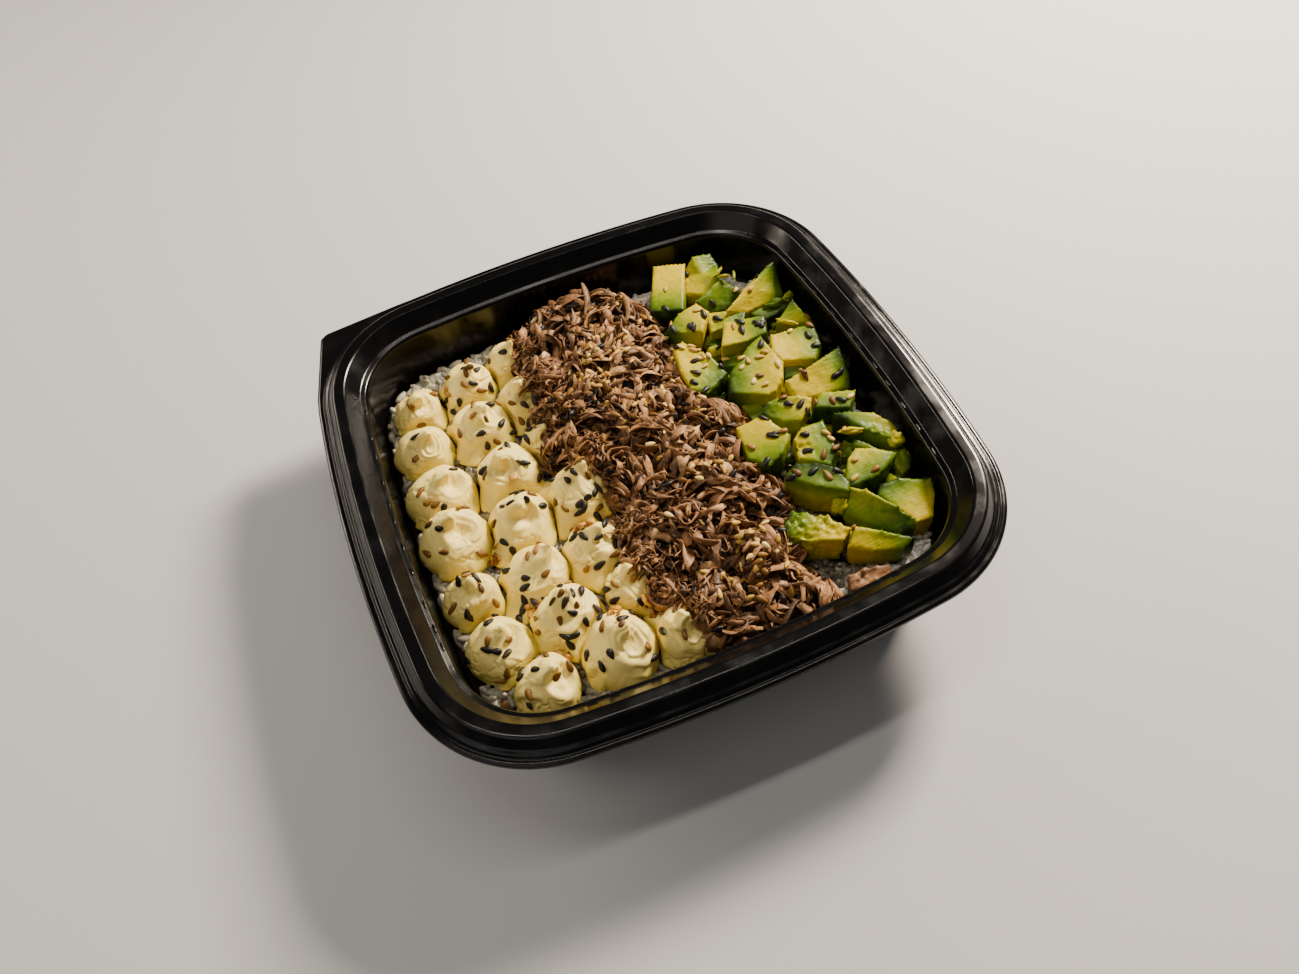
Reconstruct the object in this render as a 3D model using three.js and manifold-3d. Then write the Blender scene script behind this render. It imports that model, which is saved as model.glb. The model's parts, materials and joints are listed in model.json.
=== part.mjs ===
// Poke bowl: a black takeaway bowl with rice, cream cheese dollops, shredded tuna and cut avocado,
// all strewn with sesame. Millimetres, +Z up, origin at the middle of the base underside.
// Left is -X and far is +Y; the bowl's tab points to the far left corner.
import * as THREE from 'three';
import { mergeVertices } from 'three/addons/utils/BufferGeometryUtils.js';
import Module from 'manifold-3d';

const wasm = await Module();
wasm.setup();

// ---- driving dimensions, mm ----
const GAP = 0.3; // kept between pieces that touch

// plan of the bowl, at the rim's inner top edge
const HALF_SIDE = 85;
const SIDE_BOW_RADIUS = 562;
const CORNER_RADIUS = 32.3;
const SIDE_STEPS = 4;
const CORNER_STEPS = 6;

// section of the bowl
const RIM_TOP = 44;
const WALL = 0.9;
const FLANGE_REACH = 10.3;
const BEAD_WIDTH = 4.1;
const LEDGE_DROP = 6;
const LEDGE_INSET = 5.7;
const FLOOR_INSET = 20;

// tab of the flange, at the far left corner
const TAB_DIRECTION = THREE.MathUtils.degToRad(130.7);
const TAB_REACH = 51.6;
const TAB_HALF_ANGLE = THREE.MathUtils.degToRad(35.5);

// food
const RICE_TOP = 19.7;
const FOOD_FLOOR = RICE_TOP + GAP;
const GRAIN = { length: 5.6, width: 2.7, height: 2.3 };
const SEED = { length: 3.3, width: 2.0, height: 1.1 };
const SHRED = { width: 2.0, height: 1.1 };
const GRAINS = 28;
const SHREDS = 52;
const TUNA_SEEDS = 8;
const SKIN_BULGE = 1.0;
const CHUNK_DRAFT = 0.9;

const random = seededRandom(73);

// ---- small tools ----
function seededRandom(seed) {
  let state = seed;
  return () => {
    state = (state * 1664525 + 1013904223) % 4294967296;
    return state / 4294967296;
  };
}

function between(low, high) {
  return low + (high - low) * random();
}

// Closed skin through rings of equal count, from a start point to an end point.
function skinned(start, rings, end) {
  const count = rings[0].length;
  const points = [start, ...rings.flat(), end];
  const last = points.length - 1;
  const faces = [];
  for (let i = 0; i < count; i++) {
    const j = (i + 1) % count;
    faces.push([0, 1 + i, 1 + j]);
    for (let k = 0; k < rings.length - 1; k++) {
      const a = 1 + k * count;
      const b = a + count;
      faces.push([a + i, b + i, b + j], [a + i, b + j, a + j]);
    }
    const c = 1 + (rings.length - 1) * count;
    faces.push([last, c + j, c + i]);
  }
  const geometry = new THREE.BufferGeometry();
  const numbers = points.flatMap((p) => [p.x, p.y, p.z]);
  geometry.setAttribute('position', new THREE.Float32BufferAttribute(numbers, 3));
  geometry.setIndex(faces.flat());
  return geometry;
}

function solidOf(geometry) {
  const bare = geometry.clone();
  bare.deleteAttribute('normal');
  bare.deleteAttribute('uv');
  const merged = mergeVertices(bare, 1e-4);
  return new wasm.Manifold(new wasm.Mesh({
    numProp: 3,
    vertProperties: Float32Array.from(merged.attributes.position.array),
    triVerts: Uint32Array.from(merged.index.array),
  }));
}

function geometryOf(solid) {
  const mesh = solid.getMesh();
  const geometry = new THREE.BufferGeometry();
  geometry.setAttribute('position', new THREE.BufferAttribute(mesh.vertProperties, 3));
  geometry.setIndex(new THREE.BufferAttribute(mesh.triVerts, 1));
  geometry.computeVertexNormals();
  return geometry;
}

// The largest body of a solid, without loose scraps or sealed hollows.
function largestBody(solid) {
  const bodies = solid.decompose();
  return bodies.reduce((best, body) => (body.volume() > best.volume() ? body : best));
}

function crosses(solid, other) {
  return solid.intersect(other).volume() > 1e-4;
}

// Fuses every piece that stays clear of the obstacles to the core.
function fuse(core, pieces, obstacles) {
  const kept = pieces.filter((piece) => !obstacles.some((other) => crosses(piece, other)));
  return largestBody(kept.reduce((sum, piece) => sum.add(piece), core));
}

function centreOf(points) {
  return points.reduce((sum, p) => sum.add(p), new THREE.Vector3()).divideScalar(points.length);
}

function addPart(group, name, geometry, material) {
  const mesh = new THREE.Mesh(geometry, material);
  mesh.name = name;
  group.add(mesh);
}

// ---- plan of the bowl ----
// Each station is an arc centre, a radius and a direction; an offset moves it square to the outline.
function bowlStations() {
  const reach = SIDE_BOW_RADIUS - HALF_SIDE;
  const chord = (SIDE_BOW_RADIUS - CORNER_RADIUS) ** 2;
  const corner = (Math.sqrt(8 * chord - 4 * reach ** 2) - 2 * reach) / 4;
  const turn = Math.atan2(corner, corner + reach);
  const stations = [];
  for (let quadrant = 0; quadrant < 4; quadrant++) {
    const spin = (quadrant * Math.PI) / 2;
    const angles = [];
    for (let i = 0; i < SIDE_STEPS; i++) {
      angles.push({ side: true, angle: -turn + (2 * turn * i) / SIDE_STEPS });
    }
    for (let i = 0; i < CORNER_STEPS; i++) {
      angles.push({ side: false, angle: turn + ((Math.PI / 2 - 2 * turn) * i) / CORNER_STEPS });
    }
    if (quadrant === 1) {
      angles.push({ side: false, angle: TAB_DIRECTION - spin });
    }
    angles.sort((a, b) => a.angle - b.angle);
    for (const { side, angle } of angles) {
      const centre = side ? new THREE.Vector2(-reach, 0) : new THREE.Vector2(corner, corner);
      centre.rotateAround(new THREE.Vector2(), spin);
      const radius = side ? SIDE_BOW_RADIUS : CORNER_RADIUS;
      stations.push({ centre, radius, angle: angle + spin, tab: !side && quadrant === 1 });
    }
  }
  return stations;
}

const STATIONS = bowlStations();

function ringAt(inset, z) {
  return STATIONS.map(({ centre, radius, angle }) => {
    const distance = radius + inset;
    return new THREE.Vector3(centre.x + distance * Math.cos(angle), centre.y + distance * Math.sin(angle), z);
  });
}

// The flange's edge ring: straight edges run from the corner's arc out to the blunt tip of the tab.
function flangeRing(inset, z) {
  return STATIONS.map(({ centre, radius, angle, tab }) => {
    const lean = tab ? Math.max(0, TAB_HALF_ANGLE - Math.abs(angle - TAB_DIRECTION)) : 0;
    const limit = TAB_REACH + inset - FLANGE_REACH;
    const distance = tab ? Math.min(limit, (radius + inset) / Math.cos(lean)) : radius + inset;
    return new THREE.Vector3(centre.x + distance * Math.cos(angle), centre.y + distance * Math.sin(angle), z);
  });
}

// ---- bowl ----
// Inner face of the section, from the flange's edge to the floor, as [offset, height].
const SECTION = [
  [FLANGE_REACH, RIM_TOP - 5.0],
  [FLANGE_REACH - 0.3, RIM_TOP - 4.1],
  [FLANGE_REACH - 1.4, RIM_TOP - 3.8],
  [8.2, RIM_TOP - 4.0],
  [7.4, RIM_TOP - 3.1],
  [6.2, RIM_TOP - 2.9],
  [BEAD_WIDTH, RIM_TOP - 0.3],
  [BEAD_WIDTH - 0.9, RIM_TOP],
  [0.7, RIM_TOP],
  [0, RIM_TOP - 0.3],
  [1.9 - LEDGE_INSET, RIM_TOP - LEDGE_DROP + 1.0],
  [0.3 - LEDGE_INSET, RIM_TOP - LEDGE_DROP + 0.2],
  [-LEDGE_INSET - 0.2, RIM_TOP - LEDGE_DROP - 0.6],
  [-LEDGE_INSET - 1.4, 16],
  [-LEDGE_INSET - 3.0, 9.5],
  [-LEDGE_INSET - 6.7, 4.2],
  [-FLOOR_INSET, WALL],
];
const FLANGE_POINTS = 3; // first points of the section, which follow the tab

// The same section moved square to itself by the wall's thickness, towards the underside.
function thickened(section, wall) {
  return section.map((point, i) => {
    const before = section[Math.max(0, i - 1)];
    const after = section[Math.min(section.length - 1, i + 1)];
    const normals = [[before, point], [point, after]].filter(([a, b]) => a !== b).map(([a, b]) => {
      const direction = new THREE.Vector2(b[0] - a[0], b[1] - a[1]).normalize();
      return new THREE.Vector2(-direction.y, direction.x);
    });
    const mean = normals.reduce((sum, n) => sum.add(n), new THREE.Vector2()).normalize();
    const step = wall / Math.max(0.7, mean.dot(normals.at(-1)));
    return [point[0] + mean.x * step, Math.max(0, point[1] + mean.y * step)];
  });
}

function bowlGeometry() {
  const under = thickened(SECTION, WALL);
  under[under.length - 1] = [-FLOOR_INSET, 0];
  const ring = ([inset, z], i) => (i < FLANGE_POINTS ? flangeRing(inset, z) : ringAt(inset, z));
  const inner = SECTION.map(ring).reverse();
  return skinned(new THREE.Vector3(0, 0, WALL), [...inner, ...under.map(ring)], new THREE.Vector3());
}

// Offset of the bowl's inner face at a height below the ledge.
function wallInset(z) {
  const wall = SECTION.slice(-5);
  const i = Math.max(1, wall.findIndex((point) => point[1] <= z));
  const [high, low] = [wall[i - 1], wall[i]];
  return THREE.MathUtils.mapLinear(z, low[1], high[1], low[0], high[0]);
}

// ---- small pieces ----
function placed(solid, position, direction, up) {
  const x = direction.clone().normalize();
  const z = up.clone().addScaledVector(x, -up.dot(x)).normalize();
  const y = new THREE.Vector3().crossVectors(z, x);
  const frame = new THREE.Matrix4().makeBasis(x, y, z).setPosition(position);
  return solid.transform(frame.elements);
}

function pebble({ length, width, height }, point) {
  const geometry = new THREE.IcosahedronGeometry(1, 0);
  const position = geometry.attributes.position;
  for (let i = 0; i < position.count; i++) {
    const x = position.getX(i);
    const slim = 1 - point * (0.5 + 0.5 * x);
    const y = position.getY(i) * slim;
    const z = position.getZ(i) * slim;
    position.setXYZ(i, (x * length) / 2, (y * width) / 2, (z * height) / 2);
  }
  return solidOf(geometry);
}

const GRAIN_SOLID = pebble(GRAIN, 0);
const SEED_SOLID = pebble(SEED, 0.45);

// A bent strip of fish: a rectangular section carried along an arc.
function shredSolid(length, bend, width) {
  const steps = 2;
  const rings = [];
  for (let i = 0; i <= steps; i++) {
    const s = i / steps - 0.5;
    const middle = new THREE.Vector3(-s * length, bend * (4 * s * s - 1), bend * 0.4 * (1 - 4 * s * s));
    const half = (width / 2) * (1 - 0.8 * s * s);
    const thick = SHRED.height / 2;
    const corners = [[half, -thick], [half, thick], [-half, thick], [-half, -thick]];
    rings.push(corners.map(([y, z]) => new THREE.Vector3(middle.x, middle.y + y, middle.z + z)));
  }
  return solidOf(skinned(centreOf(rings[0]), rings, centreOf(rings.at(-1))));
}

// ---- cream cheese ----
// Each dollop: place, radius, height, lean of its peak, direction of its fold, number of sesame seeds.
const DOLLOPS = [
  { x: -62, y: 55, radius: 9.0, height: 13.5, lean: [1, -1], fold: 40, seeds: 1 },
  { x: -65.2, y: 37, radius: 10.4, height: 15, lean: [3, -1], fold: 150, seeds: 1 },
  { x: -64.8, y: 16.5, radius: 11.6, height: 14, lean: [1, 1], fold: 70, seeds: 1 },
  { x: -65.2, y: -3, radius: 11.8, height: 16.5, lean: [-1, 3], fold: 20, seeds: 1 },
  { x: -66.5, y: -25.5, radius: 9.8, height: 14.5, lean: [3, 1], fold: 110, seeds: 1 },
  { x: -64, y: -45.5, radius: 10.9, height: 15, lean: [1, 2], fold: 200, seeds: 1 },
  { x: -55, y: -61.8, radius: 10.4, height: 15, lean: [2, 1], fold: 60, seeds: 1 },
  { x: -43, y: 58, radius: 10.2, height: 14, lean: [1, -1], fold: 10, seeds: 1 },
  { x: -43.5, y: 38, radius: 10.8, height: 15, lean: [0, 0], fold: 130, seeds: 1 },
  { x: -41, y: 16, radius: 11.2, height: 15, lean: [-1, 0], fold: 80, seeds: 1 },
  { x: -43.5, y: -5.5, radius: 11.2, height: 16, lean: [0, 1], fold: 30, seeds: 1 },
  { x: -45.5, y: -26, radius: 11.9, height: 13.5, lean: [3, 2], fold: 160, seeds: 1 },
  { x: -43, y: -44, radius: 10.9, height: 16, lean: [1, 2], fold: 50, seeds: 2 },
  { x: -32, y: -60.5, radius: 12.6, height: 16.5, lean: [2, 2], fold: 220, seeds: 1 },
  { x: -26, y: 63, radius: 8.6, height: 13.5, lean: [0, -1], fold: 0, seeds: 1 },
  { x: -25.5, y: 42, radius: 10.6, height: 15, lean: [-2, 1], fold: 90, seeds: 1 },
  { x: -26.5, y: 23, radius: 8.6, height: 12.5, lean: [0, 0], fold: 140, seeds: 1 },
  { x: -24, y: -4, radius: 10.6, height: 16.5, lean: [3, 4], fold: 35, seeds: 2 },
  { x: -26.5, y: -26.5, radius: 10.7, height: 15, lean: [1, 3], fold: 100, seeds: 1 },
  { x: -21.3, y: -43, radius: 9.0, height: 14, lean: [0, 3], fold: 65, seeds: 1 },
  { x: -14, y: -64, radius: 9.2, height: 15.5, lean: [1, 1], fold: 180, seeds: 1 },
];
const DOLLOP_SIDES = 12;
const DOLLOP_PROFILE = [[0.94, 0.14], [0.84, 0.4], [0.67, 0.7], [0.42, 0.94], [0.15, 1], [0, 0.9]];

function dollopPoint(dollop, level, spread, angle, grow) {
  const fold = THREE.MathUtils.degToRad(dollop.fold);
  const twist = angle - fold - 2.6 * level;
  const swirl = 1 + 0.05 * Math.sin(2 * angle + fold) + 0.13 * level ** 2 * Math.sin(3 * twist);
  const radius = dollop.radius * spread * swirl + grow;
  const lift = level ** 1.6;
  return new THREE.Vector3(
    dollop.x + dollop.lean[0] * lift + radius * Math.cos(angle),
    dollop.y + dollop.lean[1] * lift + radius * Math.sin(angle),
    FOOD_FLOOR + dollop.height * level + (level > 0 ? grow : -grow),
  );
}

function dollopSolid(dollop, grow = 0) {
  const rings = DOLLOP_PROFILE.map(([level, spread]) => {
    const angles = Array.from({ length: DOLLOP_SIDES }, (_, i) => (i / DOLLOP_SIDES) * 2 * Math.PI);
    return angles.map((angle) => dollopPoint(dollop, level, spread, angle, grow));
  });
  const peak = dollopPoint(dollop, 1, 0, 0, 0).setZ(FOOD_FLOOR + dollop.height + grow);
  return solidOf(skinned(peak, rings, new THREE.Vector3(dollop.x, dollop.y, FOOD_FLOOR - grow)));
}

// A large block that takes away all that lies beyond a plane.
function beyond(point, normal) {
  const size = 80;
  const block = solidOf(new THREE.BoxGeometry(size, size, size));
  const up = new THREE.Vector3(0, 0, 1);
  return placed(block, point.clone().addScaledVector(normal, size / 2), normal, up);
}

// Where two dollops press together, each ends at the plane between them.
function pressed(dollop, grow) {
  let solid = dollopSolid(dollop, grow);
  for (const other of DOLLOPS) {
    const offset = new THREE.Vector3(other.x - dollop.x, other.y - dollop.y, 0);
    const distance = offset.length();
    if (other === dollop || distance > dollop.radius + other.radius + 4) {
      continue;
    }
    const reach = (distance ** 2 + dollop.radius ** 2 - other.radius ** 2) / (2 * distance) - GAP / 2;
    const normal = offset.normalize();
    const middle = new THREE.Vector3(dollop.x, dollop.y, FOOD_FLOOR + dollop.height / 2);
    const point = middle.addScaledVector(normal, reach + grow);
    solid = solid.subtract(beyond(point, normal));
  }
  return largestBody(solid);
}

function dollopSeeds(dollop) {
  const seeds = [];
  for (let i = 0; i < dollop.seeds; i++) {
    const angle = ((i + random()) / dollop.seeds) * 2 * Math.PI;
    const level = between(0.6, 0.8);
    const spread = THREE.MathUtils.mapLinear(level, 0.62, 0.8, 0.72, 0.42);
    const point = dollopPoint(dollop, level, spread, angle, 0);
    const up = new THREE.Vector3(Math.cos(angle) * 0.6, Math.sin(angle) * 0.6, 1).normalize();
    const along = new THREE.Vector3(between(-1, 1), between(-1, 1), 0.1);
    seeds.push(placed(SEED_SOLID, point.addScaledVector(up, 0.1), along, up));
  }
  return seeds;
}

// ---- avocado ----
// Each piece: its cut top, corner by corner and anticlockwise, the direction that its skin side faces
// and its sesame seeds. A piece later in the list is cut back where an earlier one presses into it.
const CHUNKS = [
  { skin: 150, seeds: 2, top: [[35, 5.5, 34], [40, 3.5, 33.5], [46, 0.5, 33], [49, 1, 33],
    [53, 4, 34], [56, 9.5, 35], [55, 14, 35.5], [54, 22.5, 36], [48, 20, 36], [38.5, 13, 35]] },
  { skin: -100, seeds: 2, top: [[28.5, -21, 34], [33, -26.5, 34], [38, -24.5, 35],
    [43.5, -19.5, 35.5], [40.5, -12, 36], [38, -9, 36], [30, -9.5, 35]] },
  { skin: 60, seeds: 1, top: [[41.5, -40.5, 35.5], [49.5, -46, 35], [51.5, -43.5, 35],
    [49.5, -37.5, 36], [45, -33, 36], [40, -30.5, 35.5], [35.5, -33, 35]] },
  { skin: 0, seeds: 1, top: [[50, 40.5, 34.5], [57.5, 40.5, 30], [73.5, 43.5, 29], [74.8, 50, 32],
    [74.9, 54, 36], [59.5, 46, 35.5]] },
  { skin: -110, seeds: 1, top: [[26.5, 53.5, 33], [37, 49.5, 33], [46.5, 69.5, 34], [36, 73, 34]] },
  { skin: -20, seeds: 1, top: [[41.5, 26, 34], [50, 24.5, 34], [57.5, 25, 34], [60.5, 32, 34.5],
    [46.5, 35, 34.5]] },
  { skin: 180, seeds: 2, top: [[27.5, 41.5, 34], [32, 39, 33], [38.5, 36.5, 33], [44, 43, 34],
    [41.5, 48, 35], [34, 46, 35]] },
  { skin: -45, seeds: 2, top: [[24.5, 22, 34], [24.5, 14, 33], [28, 10.5, 32], [38.5, 16, 32],
    [36, 24, 34], [30, 34, 34], [26, 32, 34]] },
  { skin: 0, seeds: 1, top: [[57, 11.5, 33], [67.5, 8.5, 32], [72, 13, 32.5], [73.5, 21.5, 34],
    [58.5, 23, 34], [55.5, 16, 34]] },
  { skin: 0, seeds: 1, top: [[54.5, -4, 31], [62, -5, 30], [73, -5.5, 29], [74.5, -2, 31],
    [75.5, 7, 35], [64.5, 4, 35], [53.5, 2, 34]] },
  { skin: 70, seeds: 0, top: [[75, 25, 31], [72.5, 34.5, 35], [64.5, 30, 31]] },
  { skin: -110, seeds: 1, top: [[66.5, -16.5, 33.5], [71.5, -11.5, 34], [61.5, -7.5, 34],
    [56.5, -11.5, 33.5]] },
  { skin: 200, seeds: 1, top: [[66.5, -27, 34], [73.5, -35, 33.5], [76.5, -32.5, 32], [75.5, -27, 33],
    [72, -22.5, 34], [65.5, -18.5, 34], [61, -17, 34]] },
  { skin: -30, seeds: 1, top: [[43, -27.5, 33], [50.5, -33.5, 32.5], [55, -29.5, 33], [56, -18, 34.5],
    [48.5, -18.5, 34.5], [44.5, -21, 34]] },
  { skin: -90, seeds: 1, top: [[52, -41, 33], [52, -44, 32.5], [61.5, -43.5, 33], [70.5, -39, 33.5],
    [65, -35, 34], [60, -32.5, 34], [56, -35, 34]] },
  { skin: 120, seeds: 1, top: [[30.5, -55.5, 33], [40.5, -59.5, 33], [44, -57.5, 33.5],
    [40, -51, 34.5], [31, -44.5, 34.5], [27, -48, 34], [26.5, -51.5, 33.5]] },
  { skin: 10, seeds: 1, top: [[42.5, 59, 30], [48, 54, 31], [54, 56.5, 35], [58, 66, 32],
    [57, 70, 34], [50, 70, 35.5], [45, 67, 31]] },
  { skin: 180, seeds: 2, top: [[46, -10.5, 31], [51, -12.5, 31], [56, -9.5, 32], [58, -7, 33],
    [54, -5, 34], [48, -2.5, 33.5], [44, -3, 33.5], [41, -5.5, 32]] },
  { skin: -120, seeds: 0, top: [[55, -58.5, 28], [58.5, -62.5, 28], [62.5, -63, 29], [64, -61, 30.5],
    [60.5, -57, 34], [55, -47.5, 34], [51.5, -44.5, 33], [47.5, -49, 29]] },
  { skin: 100, seeds: 0, top: [[61.5, -56.5, 31], [64.5, -62, 30], [70, -62, 29.5], [74, -56, 30.5],
    [75, -51.5, 32], [66.5, -47.5, 33], [60.5, -47.5, 32.5], [58.5, -50, 32]] },
  { skin: 20, seeds: 1, top: [[48, -65, 29.5], [56, -68, 29.5], [60, -67, 31], [52.5, -61.5, 32.5],
    [46, -57, 32.5], [42, -61, 30]] },
  { skin: -70, seeds: 1, top: [[42.5, 50, 34], [46, 47, 29], [52, 46.5, 28], [60, 52, 30],
    [55, 56, 34.5]] },
  { skin: -40, seeds: 1, top: [[42, 36.5, 31], [54.5, 36.5, 31], [57, 40, 31], [51, 42, 32],
    [44, 44.5, 32]] },
  { skin: -90, seeds: 0, top: [[63.5, 36.5, 27.5], [72, 37.5, 27.5], [75.5, 40, 28.5],
    [73, 42.5, 28.5], [58, 41.5, 28.5]] },
  { skin: 60, seeds: 0, top: [[61, -29, 31], [64.5, -32, 31], [68, -35, 31.5], [63, -27, 31.5]] },
  { skin: 0, seeds: 0, top: [[70, -40, 29], [71, -43.5, 28], [74, -42.5, 28], [75.5, -39, 29],
    [75.5, -35.8, 30], [71.5, -35.8, 30]] },
  { skin: 180, seeds: 1, top: [[40, 22, 28], [46.5, 20, 28], [48.5, 28, 29], [43, 26.5, 29]] },
  { skin: -90, seeds: 0, top: [[38.5, -3.5, 28], [44.5, -1.5, 28], [44, 4, 29], [38, 3.5, 28]] },
  { skin: -90, seeds: 0, top: [[56, 7.5, 29], [60, 6.5, 29], [63.5, 8, 29], [63, 11, 30],
    [57.5, 11, 30]] },
  { skin: -60, seeds: 0, top: [[57, -30, 29], [59, -33, 29], [63, -29.5, 30], [60, -27.5, 30]] },
];

// A loose flake of the fish, low between the avocado and the near wall.
const FLAKE = {
  skin: 0,
  top: [
    [37, -72.5, 26], [43, -74.5, 25.5], [50, -73.5, 25], [50.5, -70, 26.5], [44, -68, 27.5], [38, -68.5, 27],
  ],
};

function chunkSolid(chunk, grow = 0) {
  const top = chunk.top.map(([x, y, z]) => new THREE.Vector3(x, y, z));
  const middle = centreOf(top);
  const skin = THREE.MathUtils.degToRad(chunk.skin);
  const ring = (share, draft) => top.map((p) => {
    const out = new THREE.Vector3(p.x - middle.x, p.y - middle.y, 0).normalize();
    const facing = Math.max(0, out.x * Math.cos(skin) + out.y * Math.sin(skin));
    const bulge = share > 0 && share < 1 ? SKIN_BULGE * facing : 0;
    const z = THREE.MathUtils.lerp(p.z + grow, FOOD_FLOOR - grow, share);
    return p.clone().addScaledVector(out, grow + bulge - draft).setZ(z);
  });
  const rings = [ring(0, 0), ring(0.45, 0), ring(1, CHUNK_DRAFT)];
  const crown = middle.clone().setZ(middle.z + grow);
  return solidOf(skinned(crown, rings, middle.clone().setZ(FOOD_FLOOR - grow)));
}

function chunkSeeds(chunk) {
  const top = chunk.top.map(([x, y, z]) => new THREE.Vector3(x, y, z));
  const middle = centreOf(top);
  const seeds = [];
  for (let i = 0; i < chunk.seeds; i++) {
    const k = Math.floor(((i + 0.3 + 0.4 * random()) / chunk.seeds) * top.length) % top.length;
    const next = top[(k + 1) % top.length];
    const point = top[k].clone().lerp(next, random()).lerp(middle, between(0.35, 0.7));
    const spoke = top[k].clone().sub(middle);
    const up = spoke.cross(next.clone().sub(middle)).normalize();
    const along = new THREE.Vector3(between(-1, 1), between(-1, 1), 0);
    seeds.push(placed(SEED_SOLID, point, along, up));
  }
  return seeds;
}

// ---- tuna ----
// The heap is a long ridge between the cream cheese and the avocado.
const TUNA_NEAR = -74;
const TUNA_FAR = 75;
const TUNA_ROWS = 20;
const TUNA_COLUMNS = 8;
// Tables of [y, value]: the heap's left edge, right edge and the height of its crest.
const TUNA_LEFT = [
  [-74, -6], [-58, -14], [-45, -15], [-25, -14], [-8, -11], [8, -24], [20, -26], [34, -22],
  [52, -22], [75, -20],
];
const TUNA_RIGHT = [
  [-74, 32], [-62, 27], [-45, 30], [-30, 32], [-10, 32], [0, 35], [10, 26], [35, 24],
  [52, 26], [75, 20],
];
const TUNA_CREST = [[-74, 27], [-68, 31], [-40, 35], [0, 35.5], [40, 35.5], [66, 35.5], [75, 31]];

function along(table, y) {
  const i = Math.max(1, table.findIndex((row) => row[0] >= y));
  return THREE.MathUtils.mapLinear(y, table[i - 1][0], table[i][0], table[i - 1][1], table[i][1]);
}

function tunaHeight(x, y) {
  const left = along(TUNA_LEFT, y);
  const right = along(TUNA_RIGHT, y);
  const across = (2 * x - left - right) / (right - left);
  const crest = along(TUNA_CREST, y);
  const clumps = 1.1 * Math.sin(x * 0.31 + y * 0.17) + 1.0 * Math.sin(y * 0.29 - x * 0.21 + 1.3);
  return FOOD_FLOOR + (crest - FOOD_FLOOR) * (1 - 0.45 * Math.abs(across) ** 3) + clumps;
}

function tunaCore() {
  const rows = [];
  for (let i = 0; i <= TUNA_ROWS; i++) {
    const y = THREE.MathUtils.lerp(TUNA_NEAR, TUNA_FAR, i / TUNA_ROWS);
    const left = along(TUNA_LEFT, y);
    const right = along(TUNA_RIGHT, y);
    const ring = [];
    for (let j = 0; j <= TUNA_COLUMNS; j++) {
      const x = THREE.MathUtils.lerp(right, left, j / TUNA_COLUMNS);
      ring.push(new THREE.Vector3(x, y, tunaHeight(x, y) - 1.2));
    }
    ring.push(new THREE.Vector3(left + 1, y, FOOD_FLOOR), new THREE.Vector3(right - 1, y, FOOD_FLOOR));
    rows.push(ring);
  }
  return solidOf(skinned(centreOf(rows[0]), rows, centreOf(rows.at(-1))));
}

function tunaPieces(count, seeds) {
  const pieces = [];
  for (let i = 0; i < count + seeds; i++) {
    const y = THREE.MathUtils.lerp(TUNA_NEAR + 3, TUNA_FAR - 3, (i * 0.618034) % 1);
    const x = between(along(TUNA_LEFT, y) + 3, along(TUNA_RIGHT, y) - 3);
    const z = tunaHeight(x, y) - 1.2;
    const heading = between(0, Math.PI);
    const direction = new THREE.Vector3(Math.cos(heading), Math.sin(heading), between(-0.25, 0.25));
    const up = new THREE.Vector3(between(-0.4, 0.4), between(-0.4, 0.4), 1).normalize();
    const seed = i >= count;
    const width = between(0.8, 1.3) * SHRED.width;
    const solid = seed ? SEED_SOLID : shredSolid(between(8, 14), between(0.8, 2.4), width);
    pieces.push(placed(solid, new THREE.Vector3(x, y, z + (seed ? 0.15 : 0.3)), direction, up));
  }
  return pieces;
}

// ---- rice ----
function riceCore() {
  const heights = [RICE_TOP, 15, 9.8, 5, WALL + GAP];
  const rings = heights.map((z) => ringAt(wallInset(z) - GAP, z));
  return solidOf(skinned(new THREE.Vector3(0, 0, RICE_TOP), rings, new THREE.Vector3(0, 0, WALL + GAP)));
}

// Grains stand out along the wall and in the gaps between the toppings.
function riceGrains(count) {
  const grains = [];
  for (let i = 0; i < count; i++) {
    const station = STATIONS[Math.floor(((i + random()) / count) * STATIONS.length) % STATIONS.length];
    const distance = station.radius + wallInset(RICE_TOP) - between(2.5, 5.5);
    const position = new THREE.Vector3(
      station.centre.x + distance * Math.cos(station.angle),
      station.centre.y + distance * Math.sin(station.angle),
      RICE_TOP + between(0.1, 0.7),
    );
    const direction = new THREE.Vector3(between(-1, 1), between(-1, 1), between(-0.2, 0.2));
    grains.push(placed(GRAIN_SOLID, position, direction, new THREE.Vector3(0, 0, 1)));
  }
  return grains;
}

// ---- assembly ----
const POLYPROPYLENE = new THREE.MeshStandardMaterial({ color: 0x0b0b0c, roughness: 0.22, metalness: 0 });
const RICE = new THREE.MeshStandardMaterial({ color: 0xe9e4d6, roughness: 0.5, metalness: 0 });
const CREAM = new THREE.MeshStandardMaterial({ color: 0xe9dfb9, roughness: 0.45, metalness: 0 });
const TUNA = new THREE.MeshStandardMaterial({ color: 0x9a6a50, roughness: 0.7, metalness: 0 });
const AVOCADO = new THREE.MeshStandardMaterial({ color: 0xb3b438, roughness: 0.5, metalness: 0 });

function numbered(stem, i) {
  return `${stem}_${String(i + 1).padStart(2, '0')}`;
}

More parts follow.
